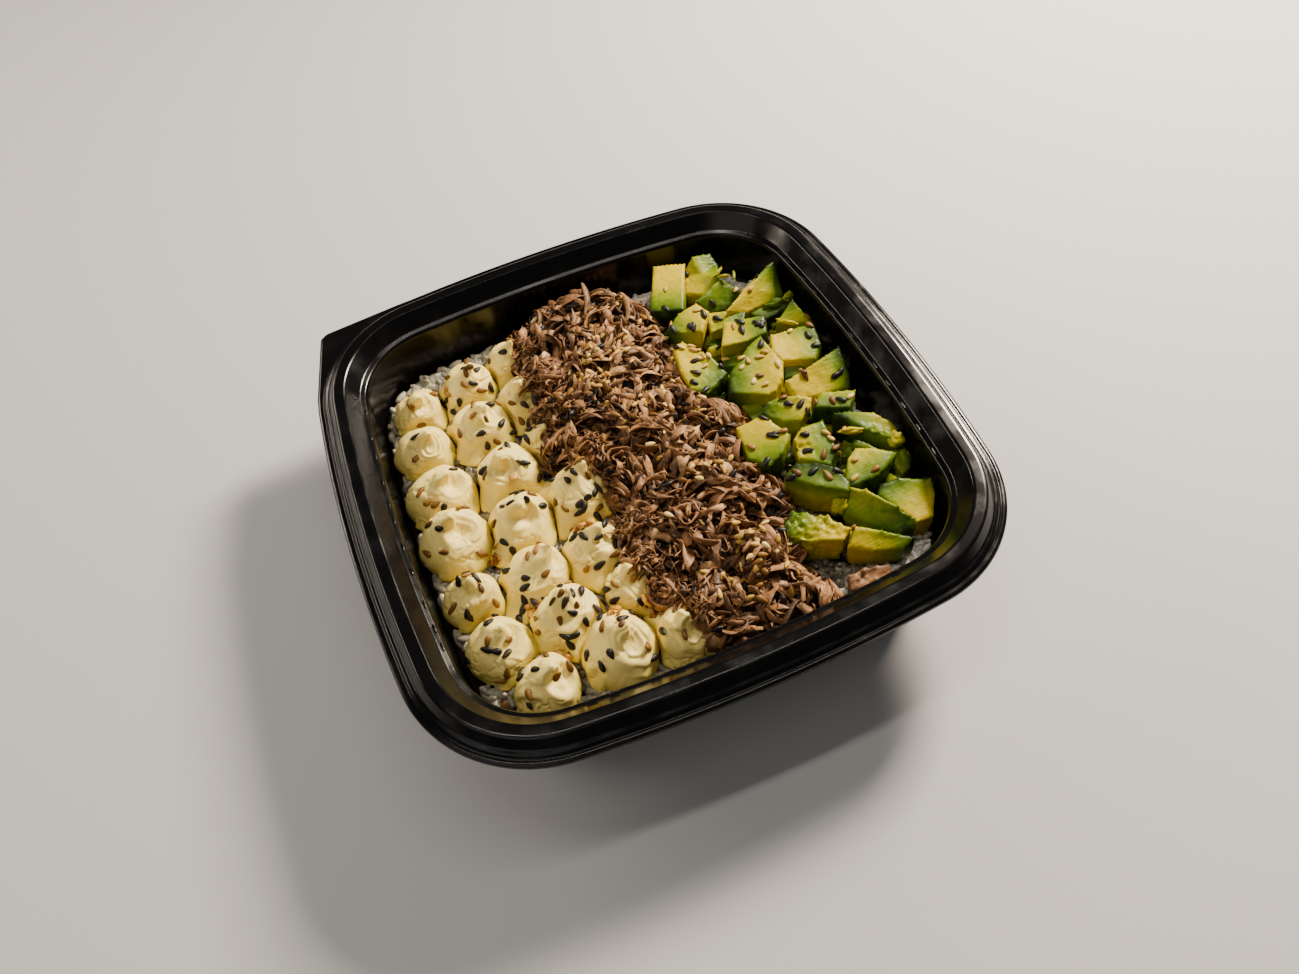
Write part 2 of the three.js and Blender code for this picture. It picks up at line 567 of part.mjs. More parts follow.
function pokeBowl() {
  const group = new THREE.Group();
  const bowl = bowlGeometry();
  const bowlSolid = solidOf(bowl);

  const dollops = DOLLOPS.map((dollop) => pressed(dollop, 0));
  const chunks = [];
  CHUNKS.forEach((chunk, i) => {
    const earlier = CHUNKS.slice(0, i).map((other) => chunkSolid(other, GAP));
    const solid = earlier.reduce((left, other) => left.subtract(other), chunkSolid(chunk));
    chunks.push(largestBody(solid));
  });
  const others = [...CHUNKS, FLAKE].map((chunk) => chunkSolid(chunk, GAP));
  const grown = [...DOLLOPS.map((dollop) => pressed(dollop, GAP)), ...others];
  const tuna = largestBody(grown.reduce((left, other) => left.subtract(other), tunaCore()));
  const toppings = [...dollops, ...chunks, tuna];

  addPart(group, 'bowl', bowl, POLYPROPYLENE);
  const rice = fuse(riceCore(), riceGrains(GRAINS), [bowlSolid, ...grown, tuna]);
  addPart(group, 'rice', geometryOf(rice), RICE);
  const shreds = tunaPieces(SHREDS, TUNA_SEEDS);
  addPart(group, 'tuna', geometryOf(fuse(tuna, shreds, [bowlSolid, riceCore(), ...grown])), TUNA);
  const flake = CHUNKS.reduce((left, other) => left.subtract(chunkSolid(other, GAP)), chunkSolid(FLAKE));
  addPart(group, 'tuna_flake', geometryOf(largestBody(flake)), TUNA);
  const withSeeds = (solid, seeds) => {
    const neighbours = toppings.filter((other) => other !== solid);
    return geometryOf(fuse(solid, seeds, neighbours));
  };
  DOLLOPS.forEach((dollop, i) => {
    addPart(group, numbered('cream_cheese', i), withSeeds(dollops[i], dollopSeeds(dollop)), CREAM);
  });
  CHUNKS.forEach((chunk, i) => {
    addPart(group, numbered('avocado', i), withSeeds(chunks[i], chunkSeeds(chunk)), AVOCADO);
  });
  return group;
}

export default pokeBowl();
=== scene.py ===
"""Dresses a poke bowl: a black takeaway bowl with rice, cream cheese, shredded tuna, avocado and sesame.

The file is laid out as an add-on and is run as a script. Shapes are worked out in millimetres, in the
frame's own axes, and turned to metres when a piece is finished.
"""

import json
import math
import random
from collections import namedtuple

import bmesh
import bpy
import numpy as np
from mathutils import Matrix, Vector, noise

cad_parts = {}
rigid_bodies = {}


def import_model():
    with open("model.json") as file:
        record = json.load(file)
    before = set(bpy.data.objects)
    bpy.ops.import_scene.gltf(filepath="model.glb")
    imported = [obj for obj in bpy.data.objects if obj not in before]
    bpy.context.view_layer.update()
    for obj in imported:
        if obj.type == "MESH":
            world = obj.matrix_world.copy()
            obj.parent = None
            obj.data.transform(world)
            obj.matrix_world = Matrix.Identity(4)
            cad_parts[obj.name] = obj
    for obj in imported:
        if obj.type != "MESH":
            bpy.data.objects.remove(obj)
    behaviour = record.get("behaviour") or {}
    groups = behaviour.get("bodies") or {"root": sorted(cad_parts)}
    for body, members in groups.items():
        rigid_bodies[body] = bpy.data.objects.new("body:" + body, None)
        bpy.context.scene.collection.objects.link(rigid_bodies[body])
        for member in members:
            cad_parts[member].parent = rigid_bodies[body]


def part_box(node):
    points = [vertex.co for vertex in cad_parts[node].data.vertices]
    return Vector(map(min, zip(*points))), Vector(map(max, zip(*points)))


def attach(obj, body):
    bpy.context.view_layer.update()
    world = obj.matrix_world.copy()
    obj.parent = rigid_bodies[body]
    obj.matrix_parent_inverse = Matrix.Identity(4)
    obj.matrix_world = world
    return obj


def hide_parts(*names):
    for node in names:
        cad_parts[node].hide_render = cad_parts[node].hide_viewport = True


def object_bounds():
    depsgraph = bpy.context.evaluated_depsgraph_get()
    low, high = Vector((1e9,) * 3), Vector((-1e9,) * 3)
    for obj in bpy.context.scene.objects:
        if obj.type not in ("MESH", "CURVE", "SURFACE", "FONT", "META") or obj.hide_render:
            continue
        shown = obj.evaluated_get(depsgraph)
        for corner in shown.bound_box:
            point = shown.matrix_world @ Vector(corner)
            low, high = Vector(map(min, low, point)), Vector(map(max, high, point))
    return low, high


bl_info = {
    "name": "Poke Bowl",
    "version": (1, 0, 0),
    "blender": (4, 5, 0),
    "location": "View3D > Sidebar > Poke Bowl",
    "description": "Builds a takeaway poke bowl round its packed frame",
    "category": "Object",
}

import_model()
CAD_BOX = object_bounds()

MM = 0.001
ALONG_X = Matrix.Rotation(math.pi / 2, 4, "Y")  # lays a shape made along z along x

# ---- sizes that come from the frame, in mm ----
RIM_TOP = CAD_BOX[1].z / MM
RIM_REACH = CAD_BOX[1].x / MM
FOOD_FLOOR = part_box("tuna")[0].z / MM
GAP = 0.3
RICE_TOP = FOOD_FLOOR - GAP
LOOK_DOWN_FROM = 0.2  # height in metres from which places are looked up, above everything

# ---- plan and section of the container, in mm ----
FLANGE_REACH = 10.3
HALF_SIDE = RIM_REACH - FLANGE_REACH
SIDE_BOW_RADIUS = 562
CORNER_RADIUS = 32.3
SIDE_STEPS = 28
CORNER_STEPS = 26
TAB_DIRECTION = math.radians(130.7)
TAB_REACH = 51.6
TAB_HALF_ANGLE = math.radians(35.5)
TAB_START = 8.6  # offset from which the flange follows the tab
TAB_BLUNTNESS = 6.0
FOLD_RADIUS = 0.32  # of the sheet's inner folds
LUG = (3, 1, 0.6)
LUG_INSET = 4.7
LUG_HEIGHT = RIM_TOP - 5.5

# Inner face from the flange's edge to the floor, as (offset from the rim's inner edge, height).
SECTION = (
    (FLANGE_REACH, RIM_TOP - 5.0),
    (FLANGE_REACH - 0.2, RIM_TOP - 4.1),
    (FLANGE_REACH - 1.2, RIM_TOP - 3.8),
    (8.2, RIM_TOP - 4.0),
    (7.4, RIM_TOP - 3.1),
    (6.2, RIM_TOP - 2.9),
    (4.1, RIM_TOP - 0.2),
    (3.3, RIM_TOP),
    (0.6, RIM_TOP),
    (0, RIM_TOP - 0.3),
    (-3.8, RIM_TOP - 5.0),
    (-5.4, RIM_TOP - 5.7),
    (-5.9, RIM_TOP - 6.6),
    (-7.1, 16),
    (-8.7, 9.5),
    (-12.4, 4.2),
    (-20, 0.9),
)


# ---- small tools ----
def linear(code):
    """Linear RGBA of an sRGB hex colour."""
    channels = [int(code[i:i + 2], 16) / 255 for i in (0, 2, 4)]
    return tuple(c / 12.92 if c <= 0.04045 else ((c + 0.055) / 1.055) ** 2.4 for c in channels) + (1.0,)


def smooth(value):
    """Smooth step of a share, held to 0 and 1."""
    share = min(1.0, max(0.0, value))
    return share * share * (3 - 2 * share)


def along(table, y):
    """Value at y in a table of (y, value), straight between its rows."""
    return float(np.interp(y, [row[0] for row in table], [row[1] for row in table]))


def per(size):
    """Texture scale for features of a size in mm."""
    return 1 / (size * MM)


def plug(socket, value):
    """Gives a socket its value, or links it to another socket or to a node's first output."""
    if isinstance(value, bpy.types.Node):
        value = next(output for output in value.outputs if output.enabled)
    if isinstance(value, bpy.types.NodeSocket):
        socket.id_data.links.new(value, socket)
    else:
        socket.default_value = value


def add(tree, kind, inputs=(), stops=(), **settings):
    """Adds a shader node with its settings, ramp stops and inputs, each a value or what to link."""
    node = tree.nodes.new("ShaderNode" + kind)
    for name, value in settings.items():
        setattr(node, name, value)
    if stops:
        elements = node.color_ramp.elements
        elements.remove(elements[1])
        elements[0].position, elements[0].color = stops[0]
        for position, colour in stops[1:]:
            elements.new(position).color = colour
    for name, value in dict(inputs).items():
        plug(node.inputs[name], value)
    return node


def new_material(name, *attributes):
    """A node material: itself, its tree, its shader, the piece's own coordinates and attributes."""
    material = bpy.data.materials.new(name)
    material.use_nodes = True
    tree = material.node_tree
    place = add(tree, "TexCoord").outputs["Object"]
    read = (add(tree, "Attribute", attribute_name=known).outputs["Fac"] for known in attributes)
    return material, tree, tree.nodes["Principled BSDF"], place, *read


def set_inputs(shader, **values):
    """Sets or links the shader's sockets by name, with _ for a space."""
    for name, value in values.items():
        plug(shader.inputs[name.replace("_", " ")], value)


def linked(name, data):
    """A new object that is in the scene."""
    thing = bpy.data.objects.new(name, data)
    bpy.context.scene.collection.objects.link(thing)
    return thing


def placed_mesh(name, mesh, material, replaces=()):
    """Puts a finished mesh, in metres, into the scene as a piece of the object."""
    mesh.materials.append(material)
    mesh.polygons.foreach_set("use_smooth", [True] * len(mesh.polygons))
    piece = linked(name, mesh)
    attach(piece, "root")
    if replaces:
        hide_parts(*replaces)
    return piece


def finished(bm, name, material, replaces=()):
    """Turns a bmesh in mm into a piece in metres."""
    bmesh.ops.scale(bm, vec=(MM, MM, MM), verts=bm.verts)
    mesh = bpy.data.meshes.new(name)
    bm.to_mesh(mesh)
    bm.free()
    return placed_mesh(name, mesh, material, replaces)


def bevelled(bm, geometry, width, segments, affect="EDGES"):
    """Rounds edges, or the corners of a line, to a width."""
    bmesh.ops.bevel(
        bm, geom=geometry, offset=width, segments=segments, profile=0.5, affect=affect, material=-1,
    )


def eased(bm, factor):
    """Evens out a bmesh by a share."""
    bmesh.ops.smooth_vert(
        bm, verts=bm.verts, factor=factor, use_axis_x=True, use_axis_y=True, use_axis_z=True,
    )


def sheet(bm, columns, rows):
    """A grid over -1 to 1 with a back to it; the back's vertices."""
    bmesh.ops.create_grid(bm, x_segments=columns, y_segments=rows, size=1)
    made = bmesh.ops.extrude_face_region(bm, geom=bm.faces[:])
    return [part for part in made["geom"] if isinstance(part, bmesh.types.BMVert)]


def outward(bm):
    """Turns every face outwards."""
    bmesh.ops.recalc_face_normals(bm, faces=bm.faces)


def remeshed(bm, voxel):
    """A new bmesh of even faces round a closed one, which is freed."""
    mesh = bpy.data.meshes.new("rough")
    bm.to_mesh(mesh)
    bm.free()
    rough = linked("rough", mesh)
    modifier = rough.modifiers.new("Remesh", "REMESH")
    modifier.mode = "VOXEL"
    modifier.voxel_size = voxel
    even = bmesh.new()
    even.from_object(rough, bpy.context.evaluated_depsgraph_get())
    bpy.data.objects.remove(rough)
    bpy.data.meshes.remove(mesh)
    return even


def template(bm):
    """Points and triangles of a small shape that is scattered many times."""
    bmesh.ops.triangulate(bm, faces=bm.faces)
    points = np.array([(*v.co, 1.0) for v in bm.verts])
    corners = np.array([[v.index for v in f.verts] for f in bm.faces])
    bm.free()
    return points, corners


def frame_at(position, direction, up, size=(1, 1, 1)):
    """Placing matrix with x along a direction, z near up, and a size."""
    x = Vector(direction).normalized()
    z = Vector(up)
    z = (z - x * z.dot(x)).normalized()
    y = z.cross(x)
    turn = Matrix((x, y, z)).transposed().to_4x4()
    return Matrix.Translation(position) @ turn @ Matrix.Diagonal((*size, 1))


def strayed(rng, across, upward=0.0, height=0.0):
    """A random vector: its spread across, its spread upward and the height it strays round."""
    x, y = rng.gauss(0, across), rng.gauss(0, across)
    return Vector((x, y, height + (rng.gauss(0, upward) if upward else 0)))


def compass(angle, z=0.0):
    """The direction at an angle in plan, with a height."""
    return Vector((math.cos(angle), math.sin(angle), z))


def scattered(name, shapes, places, tones, material, attribute="tone"):
    """One mesh of many small shapes, used in turn, with a value for each that its material reads."""
    points, corners, shades, start = [], [], [], 0
    for i, (base, triangles) in enumerate(shapes):
        frames = np.array([list(map(list, place)) for place in places[i::len(shapes)]])
        if not len(frames):
            continue
        moved = np.einsum("nij,kj->nki", frames, base)[:, :, :3]
        offsets = start + len(base) * np.arange(len(frames))
        points.append(moved.reshape(-1, 3))
        corners.append((triangles[None] + offsets[:, None, None]).reshape(-1, 3))
        shades.append(np.repeat(tones[i::len(shapes)], len(base)))
        start += len(base) * len(frames)
    points, corners, shades = np.concatenate(points), np.concatenate(corners), np.concatenate(shades)
    mesh = bpy.data.meshes.new(name)
    mesh.vertices.add(len(points))
    mesh.vertices.foreach_set("co", (points * MM).ravel())
    mesh.loops.add(corners.size)
    mesh.loops.foreach_set("vertex_index", corners.ravel().astype(np.int32))
    mesh.polygons.add(len(corners))
    mesh.polygons.foreach_set("loop_start", np.arange(0, corners.size, 3, dtype=np.int32))
    mesh.update(calc_edges=True)
    mesh.attributes.new(attribute, "FLOAT", "POINT").data.foreach_set("value", shades.astype(np.float32))
    return placed_mesh(name, mesh, material)


def dropped(x, y):
    """What lies under a place, in mm, seen from above: the object's name, the point and the normal."""
    graph = bpy.context.evaluated_depsgraph_get()
    start = (x * MM, y * MM, LOOK_DOWN_FROM)
    hit, point, normal, _, what, _ = bpy.context.scene.ray_cast(graph, start, (0, 0, -1))
    return (what.name, point / MM, normal) if hit else ("", Vector((x, y, 0)), Vector((0, 0, 1)))


def spots(piece, count, rng, wanted):
    """Random places on a piece as (point in mm, normal), kept where wanted(point, normal) says so."""
    mesh = piece.data
    mesh.calc_loop_triangles()
    triangles = mesh.loop_triangles
    corners = np.zeros(len(triangles) * 3, np.int32)
    triangles.foreach_get("vertices", corners)
    co = np.zeros(len(mesh.vertices) * 3, np.float32)
    mesh.vertices.foreach_get("co", co)
    corners = corners.reshape(-1, 3)
    # the same order in every run, which extruding doesn't promise
    corners = corners[np.lexsort(corners.T)]
    a, b, c = (co.reshape(-1, 3)[corners[:, i]] / MM for i in range(3))
    cross = np.cross(b - a, c - a)
    area = np.linalg.norm(cross, axis=1)
    edges = np.cumsum(area)
    found = []
    for _ in range(200 * count + 200):
        if len(found) == count:
            break
        k = int(np.searchsorted(edges, rng.random() * edges[-1]))
        u, v = rng.random(), rng.random()
        if u + v > 1:
            u, v = 1 - u, 1 - v
        point = Vector(a[k] + (b[k] - a[k]) * u + (c[k] - a[k]) * v)
        normal = Vector(cross[k] / max(area[k], 1e-9))
        if wanted(point, normal):
            found.append((point, normal))
    return found


# ---- container ----
def corner_of_plan():
    """Distance of a corner's centre from both axes, and half the turn of a side."""
    reach = SIDE_BOW_RADIUS - HALF_SIDE
    chord = (SIDE_BOW_RADIUS - CORNER_RADIUS) ** 2
    corner = (math.sqrt(8 * chord - 4 * reach ** 2) - 2 * reach) / 4
    return corner, math.atan2(corner, corner + reach)


def beyond_rim(x, y):
    """How far a place lies outside the rim's inner edge in plan, in mm; less than 0 inside."""
    corner, turn = corner_of_plan()
    x, y = max(abs(x), abs(y)), min(abs(x), abs(y))
    centre = HALF_SIDE - SIDE_BOW_RADIUS
    if math.atan2(y, x - centre) < turn:
        return math.hypot(x - centre, y) - SIDE_BOW_RADIUS
    return math.hypot(x - corner, y - corner) - CORNER_RADIUS


def swept_round(bm, section, side_steps=SIDE_STEPS, corner_steps=CORNER_STEPS):
    """Spins a section, as (offset, height), round the four bowed sides and four corners of the plan."""
    corner, turn = corner_of_plan()
    side = Vector((HALF_SIDE - SIDE_BOW_RADIUS, 0, 0))
    start = compass(-turn)
    points = [bm.verts.new(side + start * (SIDE_BOW_RADIUS + u) + Vector((0, 0, z))) for u, z in section]
    lines = [bm.edges.new(pair) for pair in zip(points, points[1:])]
    geometry = points + lines
    for quadrant in range(4):
        spin = Matrix.Rotation(quadrant * math.pi / 2, 3, "Z")
        arcs = (
            (spin @ side, 2 * turn, side_steps),
            (spin @ Vector((corner, corner, 0)), math.pi / 2 - 2 * turn, corner_steps),
        )
        for centre, angle, steps in arcs:
            spun = bmesh.ops.spin(
                bm, geom=geometry, cent=centre, axis=(0, 0, 1), dvec=(0, 0, 0), angle=angle, steps=steps,
                use_merge=False, use_duplicate=False,
            )
            geometry = spun["geom_last"]
    bmesh.ops.remove_doubles(bm, verts=bm.verts, dist=0.01)


def rounded_section(points, radius):
    """The section with its inner corners rounded."""
    bm = bmesh.new()
    row = [bm.verts.new((u, 0, z)) for u, z in points]
    for pair in zip(row, row[1:]):
        bm.edges.new(pair)
    bevelled(bm, row[1:-1], radius, 3, "VERTICES")
    ends = [v for v in bm.verts if len(v.link_edges) == 1]
    here = max(ends, key=lambda v: v.co.x)
    line, seen = [], set()
    while here is not None:
        line.append((here.co.x, here.co.z))
        seen.add(here)
        ahead = [e.other_vert(here) for e in here.link_edges if e.other_vert(here) not in seen]
        here = ahead[0] if ahead else None
    bm.free()
    return line


def pull_tab(bm):
    """Draws the flange at the far left corner out to its blunt tab."""
    corner = Vector((-corner_of_plan()[0], corner_of_plan()[0]))
    for v in bm.verts:
        arm = Vector(v.co.xy) - corner
        offset = arm.length - CORNER_RADIUS
        bend = math.atan2(arm.y, arm.x) - TAB_DIRECTION
        lean = max(0.0, TAB_HALF_ANGLE - abs(bend))
        if offset > TAB_START and lean > 0 and arm.x < 0 < arm.y:
            limit = TAB_REACH + offset - FLANGE_REACH
            reach = arm.length / math.cos(lean)
            reach = limit - math.log1p(math.exp((limit - reach) * TAB_BLUNTNESS / 2)) * 2 / TAB_BLUNTNESS
            reach = max(arm.length, min(reach + 0.2, limit))
            v.co.xy = corner + arm.normalized() * reach


def add_lugs(bm, rng):
    """Small moulded lugs that step across the ledge, by which stacked containers come apart."""
    turn = corner_of_plan()[1]
    for quadrant in (0, 2, 3):
        spin = Matrix.Rotation(quadrant * math.pi / 2, 4, "Z")
        for i in range(-5, 6):
            out = compass(turn * (i + rng.uniform(-0.25, 0.25)) / 5.6)
            spot = Vector((HALF_SIDE - SIDE_BOW_RADIUS, 0, LUG_HEIGHT)) + out * (SIDE_BOW_RADIUS - LUG_INSET)
            place = frame_at(spot, (-out.y, out.x, 0), out * 0.5 + Vector((0, 0, 1)), LUG)
            lug = bmesh.ops.create_cube(bm, size=1, matrix=spin @ place)
            edges = list(dict.fromkeys(e for v in lug["verts"] for e in v.link_edges))
            bevelled(bm, edges, 0.24, 2)


def container_material(colour, gloss):
    """Thermoformed polypropylene, black all through: deep gloss, faintly wavy, a little greasy."""
    material, tree, shader, place = new_material("black polypropylene")
    grease = add(tree, "TexNoise", {"Vector": place, "Scale": per(9), "Detail": 4.0})
    rough = add(
        tree, "MapRange",
        {"Value": grease, "From Min": 0.45, "From Max": 0.7, "To Min": gloss, "To Max": gloss + 0.14},
    )
    wave = add(tree, "TexNoise", {"Vector": place, "Scale": per(22), "Detail": 2.0})
    grain = add(tree, "TexNoise", {"Vector": place, "Scale": per(0.7), "Detail": 2.0})
    slow = add(tree, "Bump", {"Height": wave, "Distance": 0.35 * MM, "Strength": 0.5})
    fine = add(tree, "Bump", {"Height": grain, "Distance": 0.006 * MM, "Strength": 0.6, "Normal": slow})
    set_inputs(
        shader, Base_Color=colour, Roughness=rough, IOR=1.49, Specular_IOR_Level=0.34, Normal=fine,
    )
    return material


def make_container(settings):
    """The bowl: floor, wall, ledge, bead and flange in one moulded sheet."""
    bm = bmesh.new()
    swept_round(bm, rounded_section(SECTION, FOLD_RADIUS))
    pull_tab(bm)
    floor_ring = [e for e in bm.edges if e.is_boundary and max(v.co.z for v in e.verts) < 2]
    bmesh.ops.edgeloop_fill(bm, edges=floor_ring)
    outward(bm)
    top = max(bm.faces, key=lambda f: f.calc_center_median().z)
    if top.normal.z < 0:
        bmesh.ops.reverse_faces(bm, faces=bm.faces)
    bmesh.ops.solidify(bm, geom=bm.faces[:], thickness=settings.wall / MM)
    for v in bm.verts:
        v.co.z = max(0.0, v.co.z)
    add_lugs(bm, random.Random(5))
    material = container_material(settings.colour, settings.gloss)
    piece = finished(bm, "container", material, ["bowl"])
    even = piece.modifiers.new("Weighted Normal", "WEIGHTED_NORMAL")
    even.weight = 60
    return piece


# ---- cream cheese ----
Dollop = namedtuple("Dollop", "x y radius height lean push fold hollow_at hollow arcs black toasted")
DOLLOPS = (
    Dollop(-62, 55, 9.0, 13.5, (1, -1), 0.94, 40, -60, 0.7, 0.9, 0, 3),
    Dollop(-65.2, 37, 10.4, 15, (3, -1), 1.04, 150, -70, 0.35, 1.0, 1, 1),
    Dollop(-64.8, 16.5, 11.6, 14, (1, 1), 1.0, 70, -25, 1.0, 0.3, 2, 2),
    Dollop(-65.2, -3, 11.8, 16.5, (-1, 3), 1.12, 20, -50, 1.0, 0.8, 1, 4),
    Dollop(-66.5, -25.5, 9.8, 14.5, (3, 1), 0.88, 110, 190, 0.9, 0.3, 4, 3),
    Dollop(-64, -45.5, 10.9, 15, (1, 2), 1.03, 200, -40, 0.5, 0.5, 5, 5),
    Dollop(-55, -61.8, 10.4, 15, (2, 1), 0.96, 60, -45, 0.8, 0.6, 3, 4),
    Dollop(-43, 58, 10.2, 14, (1, -1), 0.95, 10, 20, 0.5, 0.4, 6, 6),
    Dollop(-43.5, 38, 10.8, 15, (0, 0), 1.12, 130, -10, 0.7, 0.2, 4, 8),
    Dollop(-41, 16, 11.2, 15, (-1, 0), 0.93, 80, -110, 0.7, 0.9, 5, 4),
    Dollop(-43.5, -5.5, 11.2, 16, (0, 1), 1.08, 30, -80, 1.1, 0.3, 7, 2),
    Dollop(-45.5, -26, 11.9, 13.5, (3, 2), 0.94, 160, -5, 0.7, 0.5, 3, 3),
    Dollop(-43, -44, 10.9, 16, (1, 2), 1.1, 50, 0, 0.3, 0.4, 8, 6),
    Dollop(-32, -60.5, 12.6, 16.5, (2, 2), 1.12, 220, -65, 0.6, 1.0, 5, 3),
    Dollop(-26, 63, 8.6, 13.5, (0, -1), 1.0, 0, -10, 0.9, 0.3, 5, 3),
    Dollop(-25.5, 42, 10.6, 15, (-2, 1), 1.05, 90, -80, 0.6, 0.4, 3, 3),
    Dollop(-26.5, 23, 8.6, 12.5, (0, 0), 0.85, 140, -60, 0.5, 0.3, 5, 2),
    Dollop(-24, -4, 10.6, 16.5, (3, 4), 1.12, 35, -30, 0.4, 0.6, 8, 6),
    Dollop(-26.5, -26.5, 10.7, 15, (1, 3), 1.0, 100, -30, 0.7, 0.5, 7, 2),
    Dollop(-21.3, -43, 9.0, 14, (0, 3), 0.88, 65, -60, 0.4, 0.5, 4, 2),
    Dollop(-14, -64, 9.2, 15.5, (1, 1), 1.0, 180, -50, 0.4, 1.0, 1, 1),
)
DOLLOP_FOOT = 0.35  # share of the unit sphere's lower half that makes the foot of a dollop
WAIST = 0.15  # height at which a dollop is widest, as a share of its own
PEAK_SHARE = 0.27  # of a dollop's height
PEAK_SPREAD = 0.28
TIP_SPREAD = 0.2
HOLLOW_REACH = 0.38  # distance of a hollow from its peak, as a share of the radius
ARC_SPACING = 1.9
FOLD_SPACING = 5.2
EARLIER = Vector((0.36, 0.73))  # plan direction in which a dollop's earlier neighbours lie
SEAM_RADIUS = 15
STRETCH_SPACING = 0.75


def closed_in(dollop, angle):
    """How far a dollop runs out low down, as a share of its radius: into gaps that others close in."""
    x = dollop.x + 1.35 * dollop.radius * math.cos(angle)
    y = dollop.y + 1.35 * dollop.radius * math.sin(angle)
    shares = [
        smooth((1.7 * other.radius - math.hypot(other.x - x, other.y - y)) / 3)
        for other in DOLLOPS if other is not dollop
    ]
    shore = smooth((x - along(TUNA_LEFT, y) + 4) / 3)
    return 0.5 * smooth(sum(shares) + shore - 0.65)


def layered(turns, rise):
    """Height of one of many overlapping layers: a slow rise, then a steep fall."""
    step = turns % 1
    return smooth(step / rise) if step < rise else smooth((1 - step) / (1 - rise))


def dollop_point(dollop, n, folds, tool):
    """A dollop's skin in a direction of the unit sphere, and the distance round its hollow in mm."""
    spread = math.hypot(n.x, n.y)
    angle = math.atan2(n.y, n.x)
    fold = math.radians(dollop.fold)
    if n.z >= 0:
        peak = math.exp(-((spread / PEAK_SPREAD) ** 2))
        level = WAIST + (1 - WAIST) * ((1 - PEAK_SHARE) * n.z + PEAK_SHARE * peak)
    else:
        sink = min(1.0, -n.z / DOLLOP_FOOT)
        level = WAIST * (1 - sink)
        rest = math.sqrt(1 - DOLLOP_FOOT ** 2)
        spread = 1 - 0.1 * sink if sink < 1 else 0.9 * spread / rest
    swirl = 1 + 0.05 * math.sin(2 * angle + fold)
    swirl += 0.13 * level ** 2 * math.sin(3 * (angle - fold - 2.6 * level))
    radius = dollop.radius * spread * (swirl + closed_in(dollop, angle) * smooth((0.36 - level) / 0.28))
    lift = level ** 1.6
    point = Vector((
        dollop.x + dollop.lean[0] * lift + radius * math.cos(angle),
        dollop.y + dollop.lean[1] * lift + radius * math.sin(angle),
        FOOD_FLOOR + dollop.height * level,
    ))
    # the peak is drawn out and bends over a hollow with a raised lip
    aim = compass(math.radians(dollop.hollow_at), 0.2)
    off = Vector((n.x - HOLLOW_REACH * aim.x, n.y - HOLLOW_REACH * aim.y))
    distance = off.length
    size = 0.25 + 0.13 * (dollop.fold % 70) / 70
    tip = math.exp(-((spread / TIP_SPREAD) ** 2))
    around = distance * dollop.radius + 1.6 * noise.noise(point * 0.16 + tool)
    if n.z <= 0:
        return point, around
    point += aim * (0.24 * dollop.radius * (0.4 + dollop.hollow) * tip)
    hollow = math.exp(-((distance / size) ** 2))
    crest = max(0.0, noise.noise(Vector((off.x, off.y, 0)) * 1.3 + tool) + 0.35)
    lip = math.exp(-(((distance - size - 0.14) / 0.1) ** 2)) * crest
    relief = dollop.radius * dollop.hollow * (0.16 * lip - 0.28 * hollow)
    # arcs lie round the hollow like the edges of thin layers
    layer = layered(around / ARC_SPACING, 0.8)
    ring = math.exp(-(((distance - 0.4) / 0.26) ** 2))
    patch = smooth(0.7 + 1.5 * noise.noise(point * 0.1 - tool))
    relief += 0.85 * folds * dollop.arcs * (layer - 0.5) * ring * patch
    # broad folds and sharp creases
    warp = noise.noise(point * 0.1 + tool)
    layer = layered((spread * dollop.radius + 3.5 * warp + angle - fold) / FOLD_SPACING, 0.75)
    relief += 1.0 * folds * (layer - 0.5) * smooth(0.35 + 2.2 * noise.noise(point * 0.08 - tool * 2))
    crease = noise.noise(Vector((point.x, point.y, point.z * 1.8)) * 0.26 + tool * 3)
    patch = smooth(0.4 + 2 * noise.noise(point * 0.12 + tool))
    relief -= 0.8 * folds * max(0.0, 1 - abs(crease) / 0.08) * patch
    relief += 0.07 * dollop.radius * noise.noise(point * 0.1 + tool * 2)
    relief += 0.14 * noise.noise(point * 0.5 + tool)
    return point + n * relief, around


def press(point, dollop, index, softness):
    """Holds a dollop back where a neighbour pushes on it; also says how near their seam is, in mm."""
    near = 99.0
    for k, other in enumerate(DOLLOPS):
        offset = Vector((other.x - dollop.x, other.y - dollop.y))
        if k == index or offset.length > dollop.radius + other.radius + 4:
            continue
        arm = Vector((point.x - dollop.x, point.y - dollop.y))
        length = max(arm.length, 0.01)
        turn = arm.dot(offset) / (length * offset.length)
        # the seam wanders a little, and bows round the dollop that was piped later
        share = dollop.radius * dollop.push / (dollop.radius * dollop.push + other.radius * other.push)
        wander = 1.2 * noise.noise(Vector((point.x, point.y, 0.3 * point.z)) * 0.13)
        middle = offset.length * share + wander * (1 if index < k else -1)
        later = EARLIER.dot(offset) > 0
        bow = (turn * turn - 1 if later else 1 - turn * turn) / (2 * SEAM_RADIUS)
        root = turn * turn - 4 * bow * middle
        if root < 0 or turn + math.sqrt(root) < 1e-6:
            continue
        seam = 2 * middle / (turn + math.sqrt(root)) - GAP / 4
        beyond = length - seam
        overlap = max(softness - abs(beyond), 0) / softness
        held = min(beyond, 0) - overlap * overlap * softness / 4
        point.xy = Vector((dollop.x, dollop.y)) + arm * ((seam + held) / length)
        near = min(near, -held)
    return near


